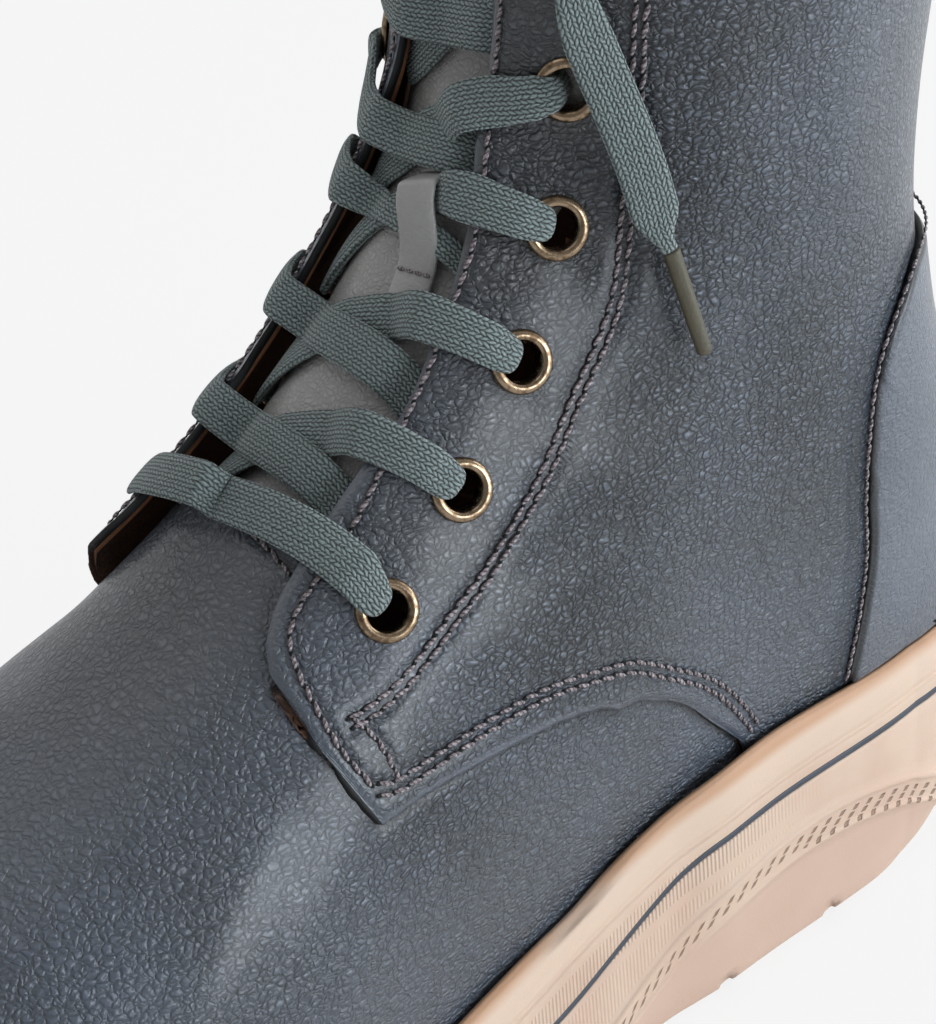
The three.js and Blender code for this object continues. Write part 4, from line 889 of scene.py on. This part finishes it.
def quarter_sheet(name, side, depth, inset, columns):
    rows_u = QUARTER_ROWS
    start = np.abs(flap_edge(rows_u, side))
    seam = np.where(rows_u < 7.45, np.interp(rows_u, *np.array(ARCH_TIP).T),
                    curve(ARCH_SEAM, rows_u))
    end = np.where(rows_u < 10, np.maximum(seam, start + 0.012), 1.0)
    arc_rows = last_point(rows_u[:, None], side * np.linspace(0, 1, 60)[None])
    girth = np.linalg.norm(np.diff(arc_rows, axis=1), axis=2).sum(1)
    start, end = start + inset / girth, np.where(end < 1, end - inset / girth, end)
    tip = last_point(rows_u[0], side * np.linspace(start[0], end[0], 20))
    arch = last_point(rows_u[rows_u <= 10], side * end[rows_u <= 10])
    throat = last_point(rows_u, side * start)
    rim = np.vstack([throat, tip, along_path(arch[:-1], 0.8)])
    top = last_point(20.0, side * np.linspace(start[-1], 1, 90))

    def place(s, t):
        r = np.round(s * (len(rows_u) - 1)).astype(int)
        w = t * (1 + 1 / columns)
        drop = np.where(rows_u[r] < HEEL_ROW, np.maximum(w - 1, 0) * columns * LAP, 0)
        share = np.minimum(w, 1)
        u = rows_u[r]
        v = side * mix(start[r], end[r], share**1.15)
        base = last_point(u, v)
        normals = last_normal(u, v)
        off = quarter_out(u, v) - depth
        calm = np.ones(len(u))
        if not depth:
            far = nearest(base, np.vstack([rim, top]))
            off = off - (0.75 if side > 0 else 0.3) * np.exp(-(far / 0.85) ** 2)
            calm = smooth((far - 0.5) / 2)
            fade = 1 - smooth((share - 0.93) / 0.07) * (u < HEEL_ROW)
            off = off + relief(base + normals * off[:, None]) * fade
        points = base + normals * off[:, None]
        points[:, 2] -= np.where(end[r] >= 1, drop, 0)
        coarse, warm = leather_values(points)
        return points, [coarse * calm, warm]

    mesh = sheet(name, len(rows_u) - 1, columns + 1, place, out_of_last, ("coarse", "warm"))
    return punched(soften(mesh, side), [flap_frame(*place)[0] for place in eyelet_places(side)],
                   EYELET_HOLE)


for side, title in ((1, "outer"), (-1, "inner")):
    quarter = link(f"quarter_{title}", quarter_sheet(f"quarter_{title}", side, 0, 0, 110),
                   [LEATHER_BLUE, LINING_TAN, EDGE_BLACK], "upper")
    thicken(quarter, OUTER_LAYER - 0.05, rim=2, inner=1)
    lining = link(f"lining_{title}", quarter_sheet(f"lining_{title}", side, OUTER_LAYER, 0.35, 60),
                  [LINING_TAN, LINING_TAN, LINING_EDGE], ())
    thicken(lining, LEATHER - OUTER_LAYER, rim=2, inner=1)


# Counter: a pocket of leather over the heel
def counter_place(side):
    edge_u, edge_v = table_line(COUNTER_EDGE, side, 300)
    edge_points = last_point(edge_u, edge_v)
    order = np.argsort(edge_u)

    def place(s, t):
        u = mix(10.62, 16.99, s)
        start = np.minimum(np.interp(u, edge_u[order], np.abs(edge_v[order])), 0.995)
        v = side * mix(start, 1.0, t)
        base = last_point(u, v)
        normals = last_normal(u, v)
        far = nearest(base, edge_points)
        off = SEAM_STEP + GAP + 1.45 - 0.6 * np.exp(-(far / 0.7) ** 2)
        off = off + relief(base + normals * off[:, None], 0.5)
        points = base + normals * off[:, None]
        lowest = HEEL_STACK + 1.6
        points[:, 2] = np.where(u < HEEL_ROW, np.maximum(points[:, 2], lowest), points[:, 2])
        coarse, warm = leather_values(points)
        # Painted shade along the counter's edge, carried in the seam attribute
        edge_shade = 0.95 * np.exp(-(far / 1.35) ** 6)
        return points, [coarse * smooth((far - 0.5) / 2) * 0.4, warm, edge_shade]

    return place


for side, title in ((1, "outer"), (-1, "inner")):
    mesh = sheet(f"heel_counter_{title}", 120, 70, counter_place(side), out_of_last,
                 ("coarse", "warm", "seam"))
    counter = link(f"heel_counter_{title}", soften(mesh, side),
                   [LEATHER_BLUE, EDGE_BLACK, EDGE_BLACK], "counter")
    thicken(counter, 1.3, rim=2, inner=1)


# Tongue
def tongue_out(u):
    under = -VAMP_WALL - GAP - 2 * SLACK
    free = SEAM_STEP - LEATHER - GAP - SLACK
    return mix(under, free, smooth((u - 8.02) / 0.35))


TONGUE_ROWS = 170
TONGUE_TOP_ROWS = 10
TONGUE_U = np.linspace(7.7, 20, TONGUE_ROWS)
TONGUE_HALF = 27 * mix(0.72, 1, smooth((TONGUE_U - 7.7) / 8))
TONGUE_V = np.stack([arc_to_v(TONGUE_U, -TONGUE_HALF), arc_to_v(TONGUE_U, TONGUE_HALF)], 1)


def tongue_place(s, t):
    r = np.round(s * (TONGUE_ROWS + TONGUE_TOP_ROWS - 1)).astype(int)
    k = np.minimum(r, TONGUE_ROWS - 1)
    u = TONGUE_U[k]
    v = mix(TONGUE_V[k, 0], TONGUE_V[k, 1], t)
    share = 2 * t - 1
    ripple = 0.35 * np.sin(u * 2.1 + 2.5 * share) * smooth((u - 8.6) / 1.0)
    ripple *= 1 - smooth((u - 15) / 3)
    points = skin(u, v, tongue_out(u) + ripple * np.exp(-(share / 0.5) ** 2) - 0.1)
    points[:, 2] += np.maximum(r - TONGUE_ROWS + 1,
                               0) / TONGUE_TOP_ROWS * 5 * (1 - 0.8 * np.abs(share) ** 3)
    return points, [np.full(len(u), 0.25), np.full(len(u), 0.5)]


tongue = link("tongue_dressed",
              sheet("tongue_dressed", TONGUE_ROWS + TONGUE_TOP_ROWS - 1, 60, tongue_place,
              lambda p: (1, 0, 0.6), ("coarse", "warm")),
              [LEATHER_GREY, LINING_TAN, EDGE_BLACK], "tongue")
thicken(tongue, 2.0, rim=2, inner=1)

# Lace keeper: a leather strap on the tongue
keeper_rows = np.linspace(-1, 1, 60)
keeper_centre = last_point(10.58, arc_to_v(10.58, 5.6)[0])
keeper_ahead = last_point(10.68, arc_to_v(10.68, 5.6)[0])
keeper_u = 10.58 + keeper_rows * 17.5 / 2 / (np.linalg.norm(keeper_ahead - keeper_centre) * 10)
keeper_v = arc_to_v(keeper_u, 5.6 - keeper_rows * 1.8)
keeper_lift = 5.2 * smooth((keeper_rows + 0.78) / 1.1) * (1 - smooth((keeper_rows - 0.5) / 0.48))
keeper_middle = skin(keeper_u, keeper_v, tongue_out(keeper_u) + GAP + 0.6 + keeper_lift)
link("lace_keeper",
     strap("lace_keeper", keeper_middle, last_normal(keeper_u, keeper_v), 6.5, 1.2, square=7),
     LEATHER_GREY, "tongue_keeper")

# Pull loop behind the collar
pull_share = np.linspace(0, 1, 90)
back_rows = np.linspace(HEEL_ROW, LAST_ROW, 300)
back_height = last_point(back_rows, 1.0)[:, 2]
pull_u = np.interp(mix(130, COLLAR_BACK - 3, pull_share), back_height, back_rows)
pull_lift = 6 * smooth(pull_share / 0.45) * smooth((1 - pull_share) / 0.3)
pull_middle = skin(pull_u, np.ones(90), SEAM_STEP + GAP + 0.9 + pull_lift)
link("pull_loop_dressed",
     strap("pull_loop_dressed", pull_middle, last_normal(pull_u, np.ones(90)), 18, 1.8,
     square=9, around=48), EDGE_BLACK, "pull_loop")

# Stitches: one small plied thread bow a pitch, with a dark bead of painted shade standing for the
# needle hole between them
def beads(name, segments, rings_, places, material):
    """Many small ellipsoids as one mesh: each place is a middle and three half axes"""
    bm = bmesh.new()
    bmesh.ops.create_uvsphere(bm, u_segments=segments, v_segments=rings_, radius=1)
    bmesh.ops.rotate(bm, verts=bm.verts, matrix=Matrix.Rotation(math.pi / 2, 3, "Y"))
    ball = np.array([vert.co for vert in bm.verts])
    faces = [[vert.index for vert in face.verts] for face in bm.faces]
    bm.free()
    middles, axes = np.array([p[0] for p in places]), np.array([p[1:] for p in places])
    points = middles[:, None] + np.einsum("bk,nkc->nbc", ball, axes)
    mesh = bpy.data.meshes.new(name)
    step = len(ball)
    mesh.from_pydata((points.reshape(-1, 3) * MM).tolist(), [],
                     [[i + n * step for i in face] for n in range(len(places)) for face in faces])
    corner = np.empty(len(mesh.loops), int)
    mesh.loops.foreach_get("vertex_index", corner)
    turn = np.stack([ball[:, 0], np.arctan2(ball[:, 2], ball[:, 1]) / (2 * math.pi)], 1)
    mesh.uv_layers.new(name="Twist").data.foreach_set("uv", turn[corner % step].ravel())
    return link(name, mesh, material)


bows, needle_hole_shades = [], []
jitter = np.random.default_rng(7)
for points, normals, pitch, thread in rows:
    line = along_path(np.hstack([points, normals]), pitch)
    for a, b in zip(line[:-1], line[1:]):
        along, up = unit(b[:3] - a[:3]), unit(a[3:] + b[3:])
        across = unit(np.cross(along, up))
        up = np.cross(across, along)
        lean = 0.22 + jitter.normal(0, 0.05)
        swing, side_way = along + across * lean, across - along * lean
        size = 1 + jitter.normal(0, 0.05)
        bows.append(((a[:3] + b[:3]) / 2 + up * 0.02, swing * pitch * 0.47 * size,
                     side_way * thread * 0.5 * size,
                     up * thread * 0.48))
        needle_hole_shades.append((a[:3] - up * 0.05, along * 0.5, across * 0.34, up * 0.16))
KEEPER_ROW = 9
keeper_up = last_normal(keeper_u[KEEPER_ROW], keeper_v[KEEPER_ROW])
keeper_long = unit(keeper_middle[KEEPER_ROW + 3] - keeper_middle[KEEPER_ROW - 3])
keeper_across = unit(np.cross(keeper_up, keeper_long))
keeper_up = np.cross(keeper_long, keeper_across)
for k in range(4):
    middle = keeper_middle[KEEPER_ROW] + keeper_up * 0.7 + keeper_across * (k - 1.5) * 1.5
    bows.append((middle, keeper_across * 0.68, keeper_long * 0.3, keeper_up * 0.3))
beads("stitches", 12, 8, bows, THREAD)
beads("needle_hole_shades", 8, 4, needle_hole_shades, HOLE_SHADE)

# Eyelets: a rolled flange and its barrel, spun and set in each hole
EYELET_PROFILE = ((3.0, -2.4), (3.0, -0.4), (3.02, 0.25), (3.12, 0.62), (3.4, 0.9), (3.85, 1.0),
                  (4.3, 0.88),
                  (4.62, 0.6), (4.75, 0.25), (4.7, 0.02), (4.3, 0.0), (3.35, -0.1), (3.28, -2.4))
outer_eyelets, inner_eyelets = eyelet_places(1), eyelet_places(-1)
rings = bmesh.new()
for u, v in outer_eyelets + inner_eyelets:
    point, normal = flap_frame(u, v)
    turn = Vector((0, 0, 1)).rotation_difference(Vector(normal)).to_matrix().to_4x4()
    move = Matrix.Scale(MM, 4) @ Matrix.Translation(Vector(point)) @ turn
    profile = [rings.verts.new(move @ Vector((r, 0, h))) for r, h in EYELET_PROFILE]
    edges = [rings.edges.new(pair) for pair in zip(profile, profile[1:] + profile[:1])]
    bmesh.ops.spin(rings, geom=profile + edges, cent=move @ Vector((0, 0, 0)), axis=Vector(normal),
                   angle=2 * math.pi, steps=40, use_merge=True)
bmesh.ops.remove_doubles(rings, verts=rings.verts, dist=1e-6)
bmesh.ops.recalc_face_normals(rings, faces=rings.faces)
mesh = bpy.data.meshes.new("eyelets")
rings.to_mesh(mesh)
rings.free()
rings = [f"eyelet_{side}_{k}" for side in ("outer", "inner") for k in range(1, 7)]
link("eyelets", mesh, BRASS, rings)


# Laces
def row_length(u):
    return float(np.linalg.norm(last_point(u + 0.5, 0.0) - last_point(u - 0.5, 0.0)))


def dive(u, v, inward):
    """The last points of a strand, over the flange's near side and down the bore"""
    point, normal = flap_frame(u, v)
    return [point + inward * 3.3 + normal * 2.0, point + inward * 2.0 + normal * 1.3,
            point + inward * 1.4 - normal * 0.8, point + inward * 1.2 - normal * 3.6]


FAR_DROOP = 7        # how much lower strands cross the far flap's edge than the eyelets behind it


def crossing(name, start, end, start_side, end_side, hump, under=False, kept=False):
    """One strand: from under a flap across the tongue, over the other edge, into its eyelet"""
    from_u, (to_u, to_v) = start[0], end
    lead = (1.4 if kept and hump else 1.0) * 2.4 / row_length(from_u)
    start_u = from_u + lead
    start_v = flap_edge(start_u, start_side) + start_side * 0.035
    end_u = mix(start_u, to_u, 0.6) if under else to_u
    end_v = flap_edge(end_u, end_side) + end_side * 0.03 if under else to_v
    sag = (0.3 if kept else 1.0) * 2 / row_length(from_u)
    t = np.linspace(0, 1, 60)
    droop = (smooth(t / 0.66) * smooth((1 - t) / 0.3) if end_side < 0 else 1 - smooth(t / 0.75))
    u = mix(start_u, end_u, t) - sag * np.sin(t * np.pi) - droop * FAR_DROOP / row_length(from_u)
    v = mix(start_v, end_v, t)
    edge = flap_edge(u, end_side)
    past = v * end_side - np.abs(edge)
    on_flap = np.zeros(60) if under else smooth((past + 0.075) / 0.06)
    flap_top = quarter_out(u, end_side * np.maximum(np.abs(v), np.abs(edge)))
    eyelet = smooth((t - 0.7) / 0.2) * (GAP + EYELET_RISE) * 0.6
    bow = hump * LACE_THICK * (1 - smooth((np.abs(t - (0.5 if under else 0.36)) - 0.1) / 0.16))
    low = mix(tongue_out(u) + bow, flap_top + eyelet, on_flap) + GAP
    middle = skin(u, v, low + LACE_THICK / 2)
    normals = last_normal(u, v)
    width = np.full(60, float(LACE_WIDTH))
    if kept:
        width = LACE_WIDTH * mix(0.55, 1, smooth((t - 0.45) / 0.3))
    thick = np.full(60, float(LACE_THICK))
    if not under:
        width = width * mix(1, 0.86, smooth((t - 0.7) / 0.2))
        keep = t < 0.9
        inward = unit(middle[45] - middle[59])
        tail = dive(to_u, to_v, inward)
        _, flap_normal = flap_frame(to_u, to_v)
        middle = np.vstack([middle[keep], tail])
        leaning = [unit(flap_normal - inward * k) for k in (0.4, 1.2, 3, 4)]
        normals = np.vstack([normals[keep], leaning])
        width = np.concatenate([width[keep], [5.7, 5.0, 4.3, 4.0]])
        thick = np.concatenate([thick[keep], [2.1, 2.5, 2.7, 2.7]])
    return lace_piece(name, middle, normals, width, thick)


def lace_piece(name, middle, normals, width, thick):
    path = spline(np.hstack([middle, normals, width[:, None], thick[:, None]]), 130)
    seed = sum(map(ord, name)) % 7
    t = np.linspace(0, 1, 130)
    roll = 0.12 * np.sin(5 * t + seed)
    side = unit(np.cross(unit(np.gradient(path[:, :3], axis=0)), path[:, 3:6]))
    up = unit(path[:, 3:6] + side * roll[:, None])
    width = path[:, 6] * (1 + 0.025 * np.sin(11 * t + seed))
    return strap(name, path[:, :3], up, width, path[:, 7], cup=-0.35)


bar_t = np.linspace(0, 1, 60)
bar_droop = FAR_DROOP / row_length(8.0) * smooth(bar_t / 0.22) * smooth((1 - bar_t) / 0.7)
bar_u = mix(inner_eyelets[0][0], outer_eyelets[0][0],
            bar_t) - 0.1 * np.sin(bar_t * np.pi) - bar_droop
bar_v = mix(inner_eyelets[0][1], outer_eyelets[0][1], bar_t)
bar_edge = np.where(bar_v < 0, flap_edge(bar_u, -1), flap_edge(bar_u, 1))
bar_top = quarter_out(bar_u, np.sign(bar_v) * np.maximum(np.abs(bar_v), np.abs(bar_edge)))
bar_rise = smooth((np.abs(2 * bar_t - 1) - 0.6) / 0.25) * (GAP + EYELET_RISE) * 0.6
bar_middle = skin(bar_u, bar_v, bar_top + bar_rise + GAP + LACE_THICK / 2)
bar_normal = last_normal(bar_u, bar_v)
keep = (bar_t > 0.085) & (bar_t < 0.915)
far_in, near_in = unit(bar_middle[14] - bar_middle[0]), unit(bar_middle[45] - bar_middle[59])
far_normal, near_normal = flap_frame(*inner_eyelets[0])[1], flap_frame(*outer_eyelets[0])[1]
bar_path = np.vstack([dive(*inner_eyelets[0], far_in)[::-1], bar_middle[keep],
                      dive(*outer_eyelets[0], near_in)])
bar_ups = np.vstack([[unit(far_normal - far_in * k) for k in (4, 3, 1.4, 0.5)], bar_normal[keep],
                     [unit(near_normal - near_in * k) for k in (0.5, 1.4, 3, 4)]])
ends = np.array([4.0, 4.3, 5.0, 5.9])
bar_width = np.concatenate([ends, np.full(keep.sum(), float(LACE_WIDTH)), ends[::-1]])
thin = np.array([2.6, 2.6, 2.2, 1.8])
bar_thick = np.concatenate([thin, np.full(keep.sum(), float(LACE_THICK)), thin[::-1]])
link("lace_bar_dressed", lace_piece("lace_bar_dressed", bar_path, bar_ups, bar_width, bar_thick),
     LACE, "lace_bar")
for k in range(EYELETS - 1):
    top, kept = k == EYELETS - 2, k == 2
    lower = crossing(f"lace_far_to_near_{k + 1}", inner_eyelets[k], outer_eyelets[k + 1], -1, 1,
                     0.0,
                     under=top, kept=kept)
    upper = crossing(f"lace_near_to_far_{k + 1}", outer_eyelets[k], inner_eyelets[k + 1], 1, -1,
                     0.9,
                     kept=kept)
    link(f"lace_far_to_near_{k + 1}", lower, LACE, f"lace_crossing_{k + 1}")
    link(f"lace_near_to_far_{k + 1}", upper, LACE, f"lace_crossing_{k + 1}")

# Sole
BEAD_WIDTH, BEAD_HEIGHT, BEAD_TOP, WALL_FLARE, WALL_TUCK = 3.4, 7.5, 1, 0.4, 2.2
STRIPE_DROP, STRIPE_SINK, STRIPE_WIDTH, STRIPE_DEPTH = 11.2, 5.3, 1.5, 0.9
ARCH_TOP, ARCH_BAND, ARCH_RELIEF = 28.6, 6.5, 0.6
TREAD_DEPTH, TREAD_SLOT, TREAD_PITCH = 2.6, 2.4, 26.5
TREAD_START = 3.5
TOE_SPRING, HEEL_LIFT, FLAT_FROM, FLAT_TO = 14, 24, -9, 122

OUTLINE_STEPS = 289
dense = np.linspace(0, HEEL_ROW, 1200)
outline = last_point(dense, 1.0)
outline_run = np.concatenate([[0], np.cumsum(np.linalg.norm(np.diff(outline, axis=0), axis=1))])
OUTLINE_U = np.interp(np.linspace(0, outline_run[-1], OUTLINE_STEPS + 1), outline_run, dense)
ring_u = np.concatenate([OUTLINE_U, OUTLINE_U[-2:0:-1]])
ring_v = np.concatenate([np.ones(OUTLINE_STEPS + 1), -np.ones(OUTLINE_STEPS - 1)])
ring = last_point(ring_u, ring_v)
ring_along = unit((np.roll(ring, -1, 0) - np.roll(ring, 1, 0)) * (1, 1, 0))
ring_out = np.stack([ring_along[:, 1], -ring_along[:, 0], np.zeros(len(ring))], 1)
if ring_out[20, 1] < 0:
    ring_out = -ring_out
ring_run = np.concatenate([[0], np.cumsum(np.linalg.norm(np.diff(ring, axis=0), axis=1))])


def sole_bottom(x):
    toe, heel = TABLE[0, 0] + BEAD_WIDTH, TABLE[HEEL_ROW, 2] - BEAD_WIDTH
    front = TOE_SPRING * (np.maximum(x - FLAT_TO, 0) / (toe - FLAT_TO)) ** 1.7
    return front + HEEL_LIFT * np.minimum(np.maximum(FLAT_FROM - x, 0) / (FLAT_FROM - heel),
                                          1) ** 1.6


def arch_height(x):
    share = x / UPPER_LENGTH - 0.038
    return ARCH_TOP * (1 - (share / np.where(share > 0, 0.26, 0.212)) ** 2)


def tread_cut(x):
    """How deep the cross slots of the tread are at a place along the sole"""
    place = (x - TREAD_START + TREAD_PITCH / 2) % TREAD_PITCH - TREAD_PITCH / 2
    return TREAD_DEPTH * (np.abs(place) < TREAD_SLOT / 2) * (x > 0) * (x < FLAT_TO + 60)


def swell(x, at, reach, height):
    return height * smooth(1 - np.abs(x - at) / reach)


def stripe_height(feather, x):
    """Lower edge of the pinstripe's groove"""
    sink = STRIPE_SINK * smooth((x - 34) / 36)
    return np.maximum(feather - STRIPE_DROP - sink, sole_bottom(x) + 7)


def sole_profile(k):
    """Side of the sole at one place of the outline, in outward distances and heights"""
    x, _, feather = ring[k]
    inside = GAP + 0.1 + SEAM_STEP * float(smooth((ring_u[k] - 9.3) / 0.5))
    bottom = float(sole_bottom(x))
    side = inside + BEAD_WIDTH
    stripe = float(stripe_height(feather, x))
    wall = side + WALL_FLARE
    arch = float(arch_height(x))
    top = min(max(arch, bottom + 5), stripe - 3)
    fade = float(smooth((arch - bottom - 4) / 4)) * ARCH_RELIEF
    low = max(top - ARCH_BAND, bottom + 3.2)
    cut = float(tread_cut(x))
    rise = BEAD_TOP + float(swell(x, 22, 34, 1.4) + swell(x, 65, 16, -1.6))
    lean = inside + 0.3 * max(rise, 0)
    tuck = wall - WALL_TUCK
    pairs = np.array([
        (inside, feather - LAP - GAP - 2 * SLACK), (lean, feather + rise - 0.9),
        (lean + 0.35, feather + rise - 0.2), (lean + 1.0, feather + rise),
                      (mix(lean, side, 0.62), feather + rise - 0.6),
        (side - 0.35, feather - 1.4), (side, feather - 3.4),
                      (side - 0.1, feather - BEAD_HEIGHT + 1.9),
        (side - 0.6, feather - BEAD_HEIGHT + 0.5), (side - 0.55, feather - BEAD_HEIGHT + 0.15),
        (side - 0.02, feather - BEAD_HEIGHT - 0.25), (wall - 0.35, stripe + STRIPE_WIDTH + 0.15),
        (wall - 0.5, stripe + STRIPE_WIDTH), (wall - 0.4 - STRIPE_DEPTH, stripe + STRIPE_WIDTH),
        (wall - 0.4 - STRIPE_DEPTH, stripe), (wall - 0.5, stripe), (wall - 0.35, stripe - 0.15),
        (wall, top + 0.9), (wall + fade, top + 0.3), (wall + fade, top - 0.4),
                      (wall + 0.3 * fade, top - 0.9),
        (mix(wall, tuck, 0.2) + 0.3 * fade, low + 1.2), (mix(wall, tuck, 0.25) + fade, low + 0.7),
        (mix(wall, tuck, 0.28) + fade, low + 0.1), (mix(wall, tuck, 0.35), low - 0.5),
                      (tuck - 0.2, bottom + 3),
        (tuck - 0.7, bottom + 1.4), (tuck - 1.5, bottom + 0.4), (tuck - 2.6, bottom)])
    pairs[-3:, 1] += cut
    return pairs


def fine_profile(pairs):
    """A profile drawn with evenly spread samples on each of its lines"""
    counts = (4, 2, 2, 3, 3, 3, 3, 2, 1, 2, 8, 1, 2, 2, 2, 1, 6, 2, 1, 2, 5, 2, 1, 2, 7, 3, 2, 2)
    out = [np.linspace(a, b, n, endpoint=False) for a, b, n in zip(pairs[:-1], pairs[1:], counts)]
    return np.vstack(out + [pairs[-1:]])


profiles = np.array([fine_profile(sole_profile(k)) for k in range(len(ring))])
arch_x = np.linspace(-60, 90, 400)
arch_run = np.concatenate([[0], np.cumsum(np.hypot(np.diff(arch_x), np.diff(arch_height(arch_x))))])
arch_slope = np.gradient(arch_height(arch_x), arch_x)


def wall_points(k, j):
    pair = profiles[k, j]
    points = ring[k] * (1, 1, 0) + ring_out[k] * pair[:, :1]
    points[:, 2] = pair[:, 1]
    return points


def sole_values(points, k, along):
    drop = ring[k][:, 2] - points[:, 2]
    x = ring[k][:, 0]
    tilt = np.sqrt(1 + np.interp(x, arch_x, arch_slope) ** 2)
    deep = (arch_height(x) - points[:, 2]) / tilt
    faded = smooth((x - 5) / 30)
    return [np.stack([along, drop], 1), np.stack([np.interp(x, arch_x, arch_run), deep], 1), faded]


def wall_place(s, t):
    k = np.round(s * len(ring)).astype(int)
    j = np.round(t * (profiles.shape[1] - 1)).astype(int)
    ring_k = k % len(ring)
    points = wall_points(ring_k, j)
    lengths = np.append(ring_run, ring_run[-1] + 1.0)
    return points, sole_values(points, ring_k, lengths[k])


def cap_place(level):
    """The strip from the outer to the inner side that shuts the wall at one level"""
    def place(s, t):
        i = np.round(s * OUTLINE_STEPS).astype(int)
        mirror = (len(ring) - i) % len(ring)
        a, b = wall_points(i, np.full(len(i), level)), wall_points(mirror, np.full(len(i), level))
        points = mix(a, b, t[:, None])
        return points, [np.stack([points[:, 0], np.full(len(i), 40.0)], 1),
                        np.full((len(i), 2), -30.0),
                        np.zeros(len(i))]
    return place


sole_mesh = bmesh.new()
for place, size in ((wall_place, (len(ring), profiles.shape[1] - 1)),
                    (cap_place(0), (OUTLINE_STEPS, 12)),
                    (cap_place(profiles.shape[1] - 1), (OUTLINE_STEPS, 24))):
    part = sheet("sole_part", *size, place, maps=("Wall", "Arch", "ahead"))
    sole_mesh.from_mesh(part)
    bpy.data.meshes.remove(part)
bmesh.ops.remove_doubles(sole_mesh, verts=sole_mesh.verts, dist=2e-6)
bmesh.ops.recalc_face_normals(sole_mesh, faces=sole_mesh.faces)
mesh = bpy.data.meshes.new("wedge_sole")
sole_mesh.to_mesh(mesh)
sole_mesh.free()
link("wedge_sole", mesh, SOLE, "sole")


# Pinstripe: a cord of coloured rubber in the wall's groove
def stripe_place(s, t):
    k = np.round(s * len(ring)).astype(int) % len(ring)
    feather, x = ring[k, 2], ring[k, 0]
    stripe = stripe_height(feather, x) + STRIPE_WIDTH / 2
    inside = GAP + 0.1 + SEAM_STEP * smooth((ring_u[k] - 9.3) / 0.5)
    face = inside + BEAD_WIDTH + WALL_FLARE - 0.4 - STRIPE_DEPTH / 2 + 0.12
    turn = t * 2 * np.pi
    out = face + (STRIPE_DEPTH / 2 - 0.02) * np.cos(turn)
    points = ring[k] * (1, 1, 0) + ring_out[k] * out[:, None]
    lift = np.sign(np.sin(turn)) * np.abs(np.sin(turn)) ** 0.6
    points[:, 2] = stripe + (STRIPE_WIDTH / 2 - 0.03) * lift
    return points, []


link("pinstripe_cord", sheet("pinstripe_cord", len(ring), 16, stripe_place), STRIPE, "pinstripe")


# Insole: a lining sock, slightly dished
def insole_place(s, t):
    i = np.round(s * OUTLINE_STEPS).astype(int)
    mirror = (len(ring) - i) % len(ring)
    inset = -VAMP_WALL - 2 * GAP - 0.1
    a, b = ring[i] + ring_out[i] * inset, ring[mirror] + ring_out[mirror] * inset
    points = mix(a, b, t[:, None])
    points[:, 2] = ring[i, 2] - LAP - GAP + 3 - 0.5 * np.sin(np.pi * t) ** 0.5
    return points, []


insole = link("insole_sock",
              sheet("insole_sock", OUTLINE_STEPS, 24, insole_place, lambda p: (0, 0, 1)),
              [LINING_TAN, LINING_TAN, LINING_EDGE], "insole")
thicken(insole, 2.4, rim=2, inner=1)

# Floor and soft studio light
bm = bmesh.new()
bmesh.ops.create_grid(bm, x_segments=1, y_segments=1, size=4)
mesh = bpy.data.meshes.new("floor")
bm.to_mesh(mesh)
bm.free()
floor = bpy.data.objects.new("floor", mesh)
# White paint, lit so evenly that it fades into the backdrop
paint, tree, main = shader("painted_floor", Roughness=0.9, Base_Color=colour("#f0f0f0"))
even = add(tree, "Emission", {"Color": (0.945, 0.945, 0.945, 1), "Strength": 1.0}).outputs[0]
share = add(tree, "MULTIPLY", add(tree, "LightPath").outputs["Is Camera Ray"], 0.88)
tree.links.new(add(tree, "MixShader", {0: share, 1: main.outputs[0], 2: even}).outputs[0],
               tree.nodes["Material Output"].inputs[0])
mesh.materials.append(paint)
bpy.context.collection.objects.link(floor)


def window(name, direction, distance, size, power, tint, target=(0.04, 0.0, 0.08)):
    """A large soft light that faces the boot"""
    light = bpy.data.lights.new(name, "AREA")
    light.shape, light.energy, light.color = "RECTANGLE", power, tint
    light.size, light.size_y = size
    made = bpy.data.objects.new(name, light)
    away = Vector(direction).normalized()
    made.location = Vector(target) + away * distance
    made.rotation_mode = "QUATERNION"
    made.rotation_quaternion = away.to_track_quat("Z", "Y")
    bpy.context.collection.objects.link(made)


window("window_key", (-0.42, 0.9, 0.2), 1.3, (1.2, 0.55), 14, (0.88, 0.94, 1.0))
window("window_back", (-0.9, 0.2, 0.4), 1.4, (0.8, 0.8), 7, (0.94, 0.97, 1.0))
window("window_top", (0.3, -0.3, 1.0), 1.6, (1.2, 1.2), 2.5, (1.0, 1.0, 1.0))
world = bpy.data.worlds.new("studio")
world.use_nodes = True
sky = world.node_tree
seen = add(sky, "LightPath").outputs["Is Camera Ray"]
fill = sky.nodes["Background"]
# the studio is white behind the boot and darker behind the camera
way = add(sky, "TexCoord").outputs["Generated"]
behind = add(sky, "VectorMath", {0: way, 1: (-0.6, -0.75, -0.1)},
             operation="DOT_PRODUCT").outputs["Value"]
fill.inputs[0].default_value = (0.95, 0.96, 0.97, 1)
sky.links.new(add(sky, "MapRange", {"Value": behind, "From Min": -0.6, "From Max": 0.7,
              "To Min": 0.3, "To Max": 0.85}, interpolation_type="LINEAR").outputs[0],
              fill.inputs[1])
backdrop = add(sky, "Background", {"Color": (0.945, 0.945, 0.945, 1), "Strength": 1.0})
both = add(sky, "MixShader", {0: seen, 1: fill.outputs[0], 2: backdrop.outputs[0]})
sky.links.new(both.outputs[0], sky.nodes["World Output"].inputs[0])
bpy.context.scene.world = world
